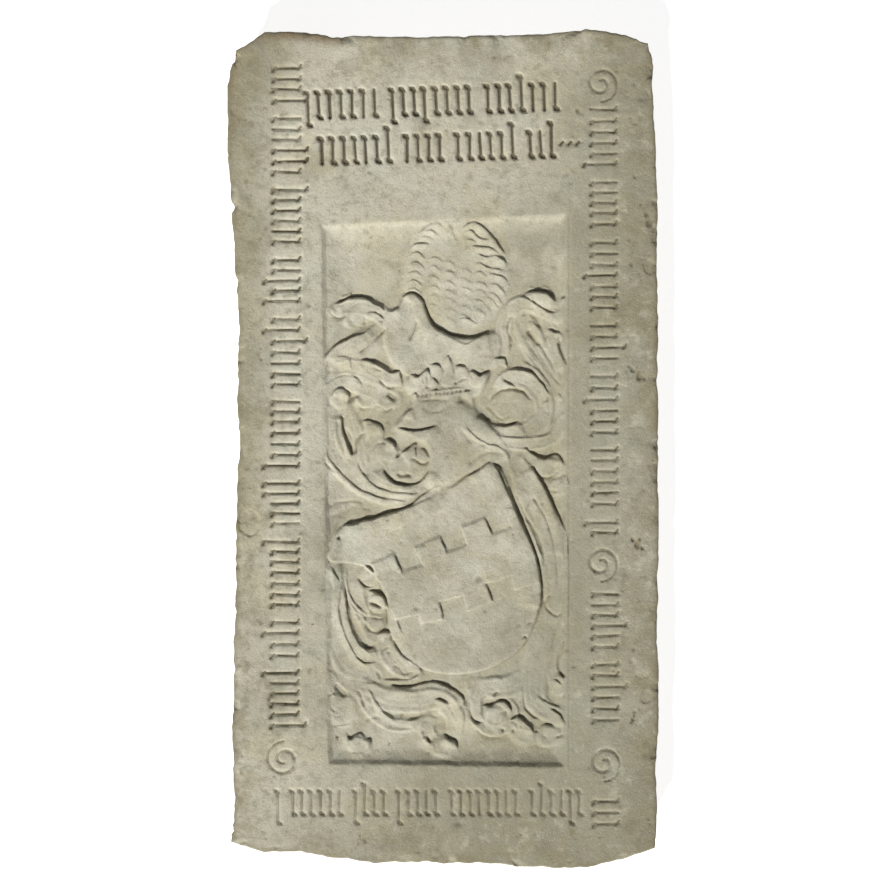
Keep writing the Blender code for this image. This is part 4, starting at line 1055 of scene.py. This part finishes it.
def loss_curve(values, full, seed, rough):
    """Losses in centimetres along a side, with a rough broken line added to the set values."""
    places = np.linspace(0, 1, 2400)
    smooth = np.interp(places, np.linspace(0, 1, len(values)), values)
    chance = np.random.default_rng(seed)
    for size, high in ((9.0, 1.6), (3.5, 1.3), (1.3, 0.8)):
        knots = max(4, int(full / size))
        bumps = chance.standard_normal(knots) * high * rough
        smooth = smooth + np.interp(places, np.linspace(0, 1, knots), bumps)
    return places, np.maximum(smooth, 0.3) / 10


def notch(curve, centre, half, deep):
    """A bite of stone missing from one side, centre and half as shares of its length."""
    places, values = curve
    bite = deep * ease(1.3 - np.abs(places - centre) / half)
    return places, values + bite


left_curve = loss_curve(LEFT_LOSS, LENGTH, 41, 1.3)
right_curve = loss_curve(RIGHT_LOSS, LENGTH, 42, 1.0)
foot_curve = loss_curve(FOOT_LOSS, WIDTH, 43, 1.1)
head_curve = loss_curve(HEAD_LOSS, WIDTH, 44, 0.9)
left_curve = notch(left_curve, 0.787, 0.006, 0.5)
head_curve = notch(head_curve, 0.25, 0.02, 0.5)


def drawn_in(flat_x, flat_y):
    """Moves points of the full rectangle, in centimetres, to the broken outline."""
    share_x = flat_x / WIDTH + 0.5
    share_y = flat_y / LENGTH + 0.5
    from_left = ease(1 - (flat_x + HALF_WIDTH) / DRAW_IN)
    from_right = ease(1 - (HALF_WIDTH - flat_x) / DRAW_IN)
    from_foot = ease(1 - (flat_y + HALF_LENGTH) / DRAW_IN)
    from_head = ease(1 - (HALF_LENGTH - flat_y) / DRAW_IN)
    x = flat_x + from_left * np.interp(share_y, *left_curve)
    x -= from_right * np.interp(share_y, *right_curve)
    y = flat_y + from_foot * np.interp(share_x, *foot_curve)
    y -= from_head * np.interp(share_x, *head_curve)
    corner = (from_right * from_head) ** 3
    return x - 1.2 * corner, y - 1.0 * corner


curves = (left_curve, right_curve, foot_curve, head_curve)
print("losses up to", round(float(max(values.max() for _, values in curves)), 1), "cm")

# %% [markdown]
# ## The face as a mesh
# The grid becomes a mesh in metres. The arris is worn round and chipped here, where the distance to
# the rim is known for each point. The whole face lies about a millimetre below the top of the CAD
# block, so no wave of the surface stands above it.

# %% Face, arris and chips
PIECE = "slab_stone"
THICKNESS = cad_high.z
SETBACK = 1.2
LEAST_SETBACK = 0.2
ARRIS_WEAR = 3.0
CHIP_DEPTH = 7.0
face_work = bmesh.new()
bmesh.ops.create_grid(face_work, x_segments=columns - 1, y_segments=rows - 1, size=1.0)
face_mesh = bpy.data.meshes.new(PIECE)
face_work.to_mesh(face_mesh)
face_work.free()
flat = np.empty(len(face_mesh.vertices) * 3)
face_mesh.vertices.foreach_get("co", flat)
flat = flat.reshape(-1, 3)
flat_x = flat[:, 0] * HALF_WIDTH
flat_y = flat[:, 1] * HALF_LENGTH
x, y = drawn_in(flat_x, flat_y)
rim_gap = np.minimum(HALF_WIDTH - np.abs(flat_x), HALF_LENGTH - np.abs(flat_y))
column = (x + HALF_WIDTH) / CELL
row = (y + HALF_LENGTH) / CELL
level = look_up(height, column, row)
chip_noise = look_up(soft_noise(3.2, 51), column, row)
fine_noise = look_up(soft_noise(1.2, 52), column, row)
arris = 0.6 + 0.7 * np.maximum(chip_noise, 0)
worn = ARRIS_WEAR * np.maximum(1 - rim_gap / arris, 0) ** 2
chips = CHIP_DEPTH * ease((chip_noise - 0.35) * 2.2) * ease(1 - rim_gap / 2.4)
level -= worn + chips * (1 + 0.3 * fine_noise)
top = THICKNESS * 1000
flat[:, 0] = x / 100
flat[:, 1] = y / 100
flat[:, 2] = np.minimum(top + level - SETBACK, top - LEAST_SETBACK) / 1000
face_mesh.vertices.foreach_set("co", flat.ravel())
face_mesh.update()
print("face", len(face_mesh.vertices), "points")

# %% [markdown]
# ## From grid to stone
# A million triangles say no more than a seventh of them do, once the flat parts are thinned out,
# so a Decimate modifier is put on the face and its result is kept. Then the rim of the face is
# extruded down in rings to make the broken side faces. Each ring has its own noise, so the side
# looks hacked and not drawn out, and the last ring is filled as the flat back.

# %% Thin out the flat parts
FACE_TRIANGLES = 166000
full_face = bpy.data.objects.new(PIECE + "_full", face_mesh)
bpy.context.scene.collection.objects.link(full_face)
thin = full_face.modifiers.new("Thin", 'DECIMATE')
thin.ratio = FACE_TRIANGLES / (2 * len(face_mesh.polygons))
depsgraph = bpy.context.evaluated_depsgraph_get()
slab_mesh = bpy.data.meshes.new_from_object(full_face.evaluated_get(depsgraph))
slab_mesh.name = PIECE
bpy.data.objects.remove(full_face)
bpy.data.meshes.remove(face_mesh)
print("thinned to", len(slab_mesh.polygons), "triangles")

# %% Broken sides and flat back
work = bmesh.new()
work.from_mesh(slab_mesh)
rim = [found for found in work.edges if found.is_boundary]
side_noise = soft_noise(6.0, 62)
side_fine = soft_noise(1.6, 63)
LEVELS = (0.9, 0.79, 0.66, 0.53, 0.4, 0.27, 0.14, 0.0)
UNDERCUT = (0.004, 0.008, 0.011, 0.012, 0.012, 0.014, 0.016, 0.021)
RING_SHIFT = 9


def back_and_forth(place, count):
    """A place that turns round at either end, so it never leaves the field."""
    return count - np.abs(place % (2 * count) - count)


def side_depth(number, spots):
    """How far in metres a ring of the side lies inside the rim. Ring -1 is the rim itself."""
    if number < 0:
        return np.zeros(len(spots))
    across = (spots[:, 0] + HALF_WIDTH + RING_SHIFT * number) / CELL * 0.9
    up = (spots[:, 1] + HALF_LENGTH + RING_SHIFT * number) / CELL * 0.9
    column = back_and_forth(across, columns - 2)
    row = back_and_forth(up, rows - 2)
    coarse = look_up(side_noise, column, row)
    fine = look_up(side_fine, column, row)
    return np.maximum(UNDERCUT[number] + 0.006 * coarse + 0.0045 * fine, 0.001)


for number, share in enumerate(LEVELS):
    made = bmesh.ops.extrude_edge_only(work, edges=rim)
    verts = [item for item in made["geom"] if isinstance(item, bmesh.types.BMVert)]
    edges = [item for item in made["geom"] if isinstance(item, bmesh.types.BMEdge)]
    rim = [item for item in edges if item.is_boundary]
    spots = np.array([vert.co[:] for vert in verts]) * 100
    steps = side_depth(number, spots) - side_depth(number - 1, spots)
    for vert, step in zip(verts, steps):
        vert.co.x *= 1 - step / (HALF_WIDTH / 100)
        vert.co.y *= 1 - step / (HALF_LENGTH / 100)
        vert.co.z = THICKNESS * share
bmesh.ops.edgeloop_fill(work, edges=rim)
bmesh.ops.triangulate(work, faces=[found for found in work.faces if len(found.verts) > 3])
bmesh.ops.recalc_face_normals(work, faces=work.faces)
work.to_mesh(slab_mesh)
work.free()
print("slab", len(slab_mesh.polygons), "triangles")
slab_stone = bpy.data.objects.new(PIECE, slab_mesh)
bpy.context.scene.collection.objects.link(slab_stone)

# %% [markdown]
# ## What the finish needs to know
# The finish changes with the carving: hollows and strokes get painted shade, the arris is darker,
# rust sits in spots, and some broad parts are paler or darker than their surroundings. These are
# worked out on the grid and kept on the mesh as attributes, so the material reads them at any
# resolution. They fade out below the face, since the sides and back have no carving.

# %% Rust spots
RUST_SPOTS = (
    (-48.5, 96.5, 0.5), (-48.2, 81.2, 0.55), (-49.4, 66.8, 0.5), (-48.5, 58.4, 0.35),
    (31.9, -95.9, 0.5), (48.6, 18.7, 0.5), (48.6, -23.4, 0.5),
)
MORE_SPOTS = 26
IN_UPPER_LEFT = 14
rust = np.zeros(grid_x.shape)
chance = np.random.default_rng(14)
for x, y, size in RUST_SPOTS:
    area, gap = round_spot(x, y, size, 3.2)
    rust[area] = np.maximum(rust[area], np.exp(-(gap / 1.25) ** 2))
for number in range(MORE_SPOTS):
    side = -1 if chance.random() < 0.62 else 1
    x = side * (52 - abs(chance.normal(0, 5)))
    y = chance.uniform(-100, 103)
    if number < IN_UPPER_LEFT:
        x, y = chance.uniform(-52, -38), chance.uniform(50, 100)
    size = chance.uniform(0.18, 0.5)
    area, gap = round_spot(x, y, size, 3.2, chance.uniform(0.5, 1.0))
    spot = chance.uniform(0.55, 1.0) * np.exp(-(gap / 1.25) ** 2)
    rust[area] = np.maximum(rust[area], spot)
print("rust on", round(float((rust > 0.5).sum()) * CELL * CELL), "cm2")

# %% Pale and dark parts, and the distance to the rim
TONE_PATCHES = (
    (24, 44, 9, 12, -0.7), (0, -97, 40, 9, -0.75), (-2, -36, 17, 14, 0.6), (0, 4, 20, 14, -0.5),
    (44, -20, 10, 60, 0.5), (-48, 22, 7, 9, -0.6), (-14, 50, 12, 8, 0.2), (0, -68, 24, 8, 0.6),
    (-1, 11, 9, 7, -0.35), (-38, 0, 5, 60, 0.3), (-47, 80, 6, 16, -0.45), (-20, -25, 7, 5, 0.4),
)
tone = np.zeros(grid_x.shape)
for x, y, wide, high, share in TONE_PATCHES:
    tone += share * np.exp(-(((wobble_x - x) / wide) ** 2 + ((wobble_y - y) / high) ** 2))
middle_x = grid_x + CENTRE_X
middle_y = grid_y + CENTRE_Y
share_x = middle_x / WIDTH + 0.5
share_y = middle_y / LENGTH + 0.5
edge_field = np.minimum.reduce((
    middle_x + HALF_WIDTH - np.interp(share_y, *left_curve),
    HALF_WIDTH - middle_x - np.interp(share_y, *right_curve),
    middle_y + HALF_LENGTH - np.interp(share_x, *foot_curve),
    HALF_LENGTH - middle_y - np.interp(share_x, *head_curve),
))
print("tone", round(float(tone.min()), 2), "to", round(float(tone.max()), 2))

# %% Attributes on the mesh
# The stroke share below darkens each stroke with painted shade, more in the upper rows.
UPPER_ROW_SHADE = 1.4
upper_rows = (grid_y > 68) & (np.abs(grid_x) < 35.5)
stroke_shade = cuts * (1 - inner) / STROKE_DEPTH * np.where(upper_rows, UPPER_ROW_SHADE, 1.0)
spots = np.empty(len(slab_mesh.vertices) * 3)
slab_mesh.vertices.foreach_get("co", spots)
spots = spots.reshape(-1, 3) * 100
on_face = ease((spots[:, 2] - THICKNESS * 100 + 4.5) / 1.5)
column = (spots[:, 0] + HALF_WIDTH) / CELL
row = (spots[:, 1] + HALF_LENGTH) / CELL
for name, field in (
    ("panel", inner),
    ("hollow", np.clip(hollow / 4, -1, 1)),
    ("basin", np.clip(basin / 4, -1, 1) * walls),
    ("rim", ease(1 - edge_field / 1.3)),
    ("edge", np.clip(edge_field / 12, 0, 1)),
    ("rust", rust),
    ("tone", tone),
    ("pit", np.clip(pits / 2, 0, 1)),
    ("stroke", stroke_shade),
):
    values = look_up(field, column, row) * on_face
    kept = slab_mesh.attributes.new(name, 'FLOAT', 'POINT')
    kept.data.foreach_set("value", values.astype(np.float32))
slab_mesh.shade_smooth()
for found in slab_mesh.polygons:
    found.use_smooth = found.normal.z > -0.95
print("attributes", [kept.name for kept in slab_mesh.attributes if kept.domain == 'POINT'])

# %% [markdown]
# ## Limestone
# Pale limestone isn't one colour. A warm grey-cream ground drifts to green-grey at the right and at
# the foot, where damp sat longer. Over it lie broad clouds, the listed pale and dark parts, small
# mottling, a thin pale dust in the panel, painted shade in pits, creases, strokes and broad
# hollows, brown stains along the rim, rust spots and fine specks. Each of these is a mask that
# mixes one more colour in.

# %% Helpers for shader nodes
stone = bpy.data.materials.new("Pale limestone")
stone.use_nodes = True
tree = stone.node_tree


def linear(red, green, blue):
    """A colour given as 0 to 255 display values."""
    parts = []
    for value in (red, green, blue):
        value /= 255
        parts.append(value / 12.92 if value < 0.04045 else ((value + 0.055) / 1.055) ** 2.4)
    return (*parts, 1.0)


def add_node(kind, **settings):
    """A new node in the stone's tree, with its settings."""
    made = tree.nodes.new(kind)
    for name, value in settings.items():
        setattr(made, name, value)
    return made


def feed(source, target):
    """Sets a socket to a value or links it to another socket."""
    if isinstance(source, bpy.types.NodeSocket):
        tree.links.new(source, target)
    else:
        target.default_value = source


def calculate(operation, first, second=0.0):
    """One step of arithmetic on two values or sockets."""
    made = add_node("ShaderNodeMath", operation=operation)
    feed(first, made.inputs[0])
    feed(second, made.inputs[1])
    return made.outputs[0]


def plus(first, second):
    """The sum of two values."""
    return calculate('ADD', first, second)


def minus(first, second):
    """The first value less the second."""
    return calculate('SUBTRACT', first, second)


def times(first, second):
    """The product of two values."""
    return calculate('MULTIPLY', first, second)


def ramp(value, low, high, out_low=0.0, out_high=1.0):
    """A smooth change from one value to another between low and high."""
    made = add_node("ShaderNodeMapRange", interpolation_type='SMOOTHSTEP')
    for target, source in zip(made.inputs[:5], (value, low, high, out_low, out_high)):
        feed(source, target)
    return made.outputs[0]


def blend_colour(share, first, second, way='MIX'):
    """Mixes a share of the second colour into the first."""
    made = add_node("ShaderNodeMix", data_type='RGBA', blend_type=way)
    feed(share, made.inputs[0])
    feed(first, made.inputs[6])
    feed(second, made.inputs[7])
    return made.outputs[2]


def cloud(place, scale, detail=4.0, rough=0.55, shift=0.0):
    """Noise over the stone, about 0.3 to 0.7."""
    made = add_node("ShaderNodeTexNoise", noise_dimensions='4D')
    feed(place, made.inputs["Vector"])
    made.inputs["W"].default_value = shift
    made.inputs["Scale"].default_value = scale
    made.inputs["Detail"].default_value = detail
    made.inputs["Roughness"].default_value = rough
    return made.outputs["Fac"]


def kept_value(name):
    """An attribute that was kept on the mesh."""
    return add_node("ShaderNodeAttribute", attribute_name=name).outputs["Fac"]


# %% Places on the stone, and the colours
shader = tree.nodes["Principled BSDF"]
place = add_node("ShaderNodeTexCoord").outputs["Object"]
parts = add_node("ShaderNodeSeparateXYZ")
tree.links.new(place, parts.inputs[0])
x_place, y_place, z_place = parts.outputs

WARM = linear(188, 183, 163)
GREEN_GREY = linear(146, 142, 119)
DARK_CLOUD = linear(142, 137, 114)
LIGHT_CLOUD = linear(206, 202, 184)
DUST = linear(212, 208, 190)
BROWN = linear(134, 121, 92)
# A darker tan is painted shade for the broad hollows.
BASIN_SHADE = linear(168, 161, 132)
# The darkest colour is painted shade, for creases, strokes and pits.
CREASE_SHADE = linear(78, 67, 45)
RUST = linear(90, 72, 48)
DEEP_GREY = linear(136, 131, 108)
OCHRE = linear(188, 178, 146)
COOL = linear(178, 179, 164)
RUST_BROWN = linear(112, 88, 58)
RIM_GREY = linear(126, 118, 95)
OLIVE = linear(150, 143, 116)
GREY_MOTTLE = linear(150, 147, 128)
print("darkest colour", [round(part, 2) for part in CREASE_SHADE[:3]])

# %% Ground colour and clouds
damp = plus(times(x_place, 1.25), times(y_place, -0.34))
damp = plus(damp, times(cloud(place, 3.1, shift=1.0), 1.5))
damp_share = ramp(damp, 0.5, 1.35, 0, 0.75)
dry_share = minus(1.0, damp_share)
colour = blend_colour(damp_share, WARM, GREEN_GREY)
far_right = ramp(plus(x_place, times(cloud(place, 6.0, shift=2.5), 0.16)), 0.44, 0.6, 0, 0.5)
colour = blend_colour(far_right, colour, DEEP_GREY)
colour = blend_colour(ramp(damp, 0.55, 0.2, 0, 0.5), colour, LIGHT_CLOUD)
upper = times(ramp(y_place, 0.45, 0.7), ramp(y_place, 0.98, 0.84))
upper = times(upper, ramp(x_place, 0.36, 0.1, 0, 0.5))
colour = blend_colour(upper, colour, LIGHT_CLOUD)
tone = kept_value("tone")
colour = blend_colour(ramp(tone, 0.0, 1.0, 0, 0.6), colour, LIGHT_CLOUD)
colour = blend_colour(ramp(tone, 0.0, -1.0, 0, 0.6), colour, DARK_CLOUD)
dark = ramp(cloud(place, 5.5, 5.0, 0.6, 2.0), 0.5, 0.72, 0, 0.6)
colour = blend_colour(dark, colour, DARK_CLOUD)
pale = times(ramp(cloud(place, 7.5, 5.0, 0.62, 3.0), 0.52, 0.72, 0, 0.65), dry_share)
colour = blend_colour(pale, colour, LIGHT_CLOUD)
mottle = cloud(place, 42.0, 5.0, 0.7, 4.0)
colour = blend_colour(ramp(mottle, 0.48, 0.68, 0, 0.7), colour, GREY_MOTTLE)
patch = cloud(place, 19.0, 6.0, 0.72, 9.0)
colour = blend_colour(ramp(patch, 0.52, 0.7, 0, 0.5), colour, DARK_CLOUD)
colour = blend_colour(ramp(patch, 0.45, 0.3, 0, 0.5), colour, LIGHT_CLOUD)
print("ground and clouds", len(tree.nodes), "nodes")

# %% Dust, and painted shade in the carving
panel_share = kept_value("panel")
dust_mask = times(panel_share, ramp(cloud(place, 16.0, 6.0, 0.65, 5.0), 0.42, 0.66, 0.1, 0.75))
dust_mask = times(dust_mask, dry_share)
colour = blend_colour(dust_mask, colour, DUST)
hollow_share = kept_value("hollow")
basin_share = kept_value("basin")
# Painted shade: the broad hollows turn a darker tan.
colour = blend_colour(ramp(basin_share, 0.05, 0.8, 0, 0.42), colour, BASIN_SHADE)
# Painted shade: creases, strokes and pits are darkened by how deep they lie.
colour = blend_colour(ramp(hollow_share, 0.15, 0.8, 0, 0.62), colour, CREASE_SHADE)
colour = blend_colour(ramp(kept_value("stroke"), 0.5, 1.05, 0, 0.84), colour, CREASE_SHADE)
pit_share = kept_value("pit")
colour = blend_colour(times(pit_share, 0.55), colour, CREASE_SHADE)
print("with dust and dirt", len(tree.nodes), "nodes")

# %% Stains along the rim and in the corner
edge_x = minus(HALF_WIDTH / 100, calculate('ABSOLUTE', x_place))
edge_y = minus(HALF_LENGTH / 100, calculate('ABSOLUTE', y_place))
edge_near = calculate('MINIMUM', edge_x, edge_y)
stain_cloud = cloud(place, 9.0, 6.0, 0.7, 6.0)
stain = times(ramp(edge_near, 0.12, 0.0), ramp(stain_cloud, 0.45, 0.64, 0, 0.8))
colour = blend_colour(stain, colour, BROWN)
border_share = ramp(edge_near, 0.22, 0.06)
border_cloud = cloud(place, 13.0, 6.0, 0.75, 13.0)
border_dark = times(border_share, ramp(border_cloud, 0.5, 0.64, 0, 0.5))
colour = blend_colour(border_dark, colour, RIM_GREY)
border_pale = times(border_share, ramp(border_cloud, 0.47, 0.33, 0, 0.5))
colour = blend_colour(border_pale, colour, LIGHT_CLOUD)
corner_x = plus(x_place, 0.46)
corner_y = minus(y_place, 0.98)
corner_square = plus(calculate('POWER', corner_x, 2.0), calculate('POWER', corner_y, 2.0))
corner_gap = calculate('SQRT', corner_square)
edge_share = kept_value("edge")
corner = ramp(minus(corner_gap, times(stain_cloud, 0.16)), 0.14, -0.08, 0, 0.5)
colour = blend_colour(corner, colour, BROWN)
near_corner = ramp(corner_gap, 0.34, 0.12)
corner_rim = times(near_corner, ramp(edge_share, 0.3, 0.0, 0, 0.9))
colour = blend_colour(corner_rim, colour, RUST_BROWN)
left_share = ramp(plus(x_place, times(stain_cloud, 0.16)), -0.3, -0.46, 0, 0.6)
left_share = times(left_share, ramp(y_place, -0.75, 0.1))
colour = blend_colour(left_share, colour, OLIVE)
side_face = ramp(z_place, THICKNESS - 0.012, THICKNESS - 0.05)
colour = blend_colour(times(side_face, 0.6), colour, BROWN)
print("with stains", len(tree.nodes), "nodes")

# %% Specks, rust and soft patches of hue
specks = cloud(place, 260.0, 3.0, 0.75, 7.0)
colour = blend_colour(ramp(specks, 0.54, 0.66, 0, 0.5), colour, DARK_CLOUD)
colour = blend_colour(ramp(specks, 0.44, 0.32, 0, 0.4), colour, LIGHT_CLOUD)
rust_share = kept_value("rust")
halo = ramp(plus(rust_share, times(mottle, 0.4)), 0.3, 0.75, 0, 0.6)
colour = blend_colour(halo, colour, BROWN)
colour = blend_colour(ramp(rust_share, 0.7, 1.0, 0, 0.85), colour, RUST)
rim_share = kept_value("rim")
rim_mask = times(rim_share, ramp(patch, 0.35, 0.6, 0.35, 0.9))
colour = blend_colour(rim_mask, colour, RIM_GREY)
warm_patch = ramp(cloud(place, 6.5, 6.0, 0.68, 11.0), 0.47, 0.66, 0, 0.42)
colour = blend_colour(warm_patch, colour, OCHRE, 'COLOR')
cool_patch = ramp(cloud(place, 9.5, 6.0, 0.7, 12.0), 0.48, 0.66, 0, 0.4)
colour = blend_colour(cool_patch, colour, COOL, 'COLOR')
tree.links.new(colour, shader.inputs["Base Color"])
print("whole colour", len(tree.nodes), "nodes")

# %% Roughness and grain
GRAIN_STRENGTH = 0.8
GRAIN_HEIGHT = 0.0035
rough = ramp(plus(mottle, times(hollow_share, 0.1)), 0.35, 0.7, 0.78, 0.95)
tree.links.new(rough, shader.inputs["Roughness"])
shader.inputs["Specular IOR Level"].default_value = 0.3
grain = plus(times(specks, 0.5), cloud(place, 90.0, 4.0, 0.7, 8.0))
bump = add_node("ShaderNodeBump")
bump.inputs["Strength"].default_value = GRAIN_STRENGTH
bump.inputs["Distance"].default_value = GRAIN_HEIGHT
tree.links.new(grain, bump.inputs["Height"])
tree.links.new(bump.outputs["Normal"], shader.inputs["Normal"])
slab_mesh.materials.clear()
slab_mesh.materials.append(stone)
print("stone nodes", len(tree.nodes))

# %% [markdown]
# ## Floor, light and camera
# The slab lies on a plain near-white floor, half a millimetre below it, so the two planes never
# flicker through each other. A soft sun stands beyond the foot and a little to the left, 43 degrees
# high, so the carving throws short shadows towards the head, and an even sky fills them. The camera
# looks straight down from high up with a long lens.

# %% Floor
FLOOR_GAP = 0.0005
floor_work = bmesh.new()
bmesh.ops.create_grid(floor_work, x_segments=8, y_segments=8, size=6.0)
floor_mesh = bpy.data.meshes.new("floor")
floor_work.to_mesh(floor_mesh)
floor_work.free()
floor = bpy.data.objects.new("floor", floor_mesh)
floor.location.z = -FLOOR_GAP
bpy.context.scene.collection.objects.link(floor)
paper = bpy.data.materials.new("White floor")
paper.use_nodes = True
paper_shader = paper.node_tree.nodes["Principled BSDF"]
paper_shader.inputs["Base Color"].default_value = (0.9, 0.9, 0.9, 1)
paper_shader.inputs["Roughness"].default_value = 0.9
paper_shader.inputs["Emission Color"].default_value = (1, 1, 1, 1)
paper_shader.inputs["Emission Strength"].default_value = 0.8
floor_mesh.materials.append(paper)
print("floor", round(floor.dimensions.x, 1), "m")

# %% Light
KEY_ENERGY = 4.02
KEY_HEIGHT = math.radians(43)
SKY_STRENGTH = 0.155
key = bpy.data.lights.new("Key", 'SUN')
key.energy = KEY_ENERGY
key.angle = math.radians(6)
key.color = (1.0, 0.99, 0.965)
key_lamp = bpy.data.objects.new("Key", key)
level_part = math.cos(KEY_HEIGHT)
aim = Vector((-LIGHT_SIDE[0] * level_part, -LIGHT_SIDE[1] * level_part, -math.sin(KEY_HEIGHT)))
key_lamp.rotation_euler = aim.to_track_quat('-Z', 'Y').to_euler()
bpy.context.scene.collection.objects.link(key_lamp)
world = bpy.data.worlds.new("Studio")
world.use_nodes = True
sky = world.node_tree.nodes["Background"]
sky.inputs["Color"].default_value = (0.97, 0.98, 1.0, 1)
sky.inputs["Strength"].default_value = SKY_STRENGTH
bpy.context.scene.world = world
bpy.context.scene.view_settings.view_transform = 'Standard'
print("key lamp", [round(part, 2) for part in aim])

# %% Camera
camera_data = bpy.data.cameras.new("Camera")
camera_data.lens = 100
camera_data.sensor_width = 36
camera_data.clip_end = 40
camera = bpy.data.objects.new("Camera", camera_data)
VIEW_WIDTH = 2.24
distance = VIEW_WIDTH * camera_data.lens / camera_data.sensor_width
camera.location = (0.0125, 0.00125, THICKNESS + distance)
bpy.context.scene.collection.objects.link(camera)
bpy.context.scene.camera = camera
print("camera", round(distance, 2), "m above the face")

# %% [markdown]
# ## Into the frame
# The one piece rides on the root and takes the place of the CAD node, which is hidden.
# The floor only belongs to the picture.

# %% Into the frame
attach(slab_stone, "root")
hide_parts("slab")
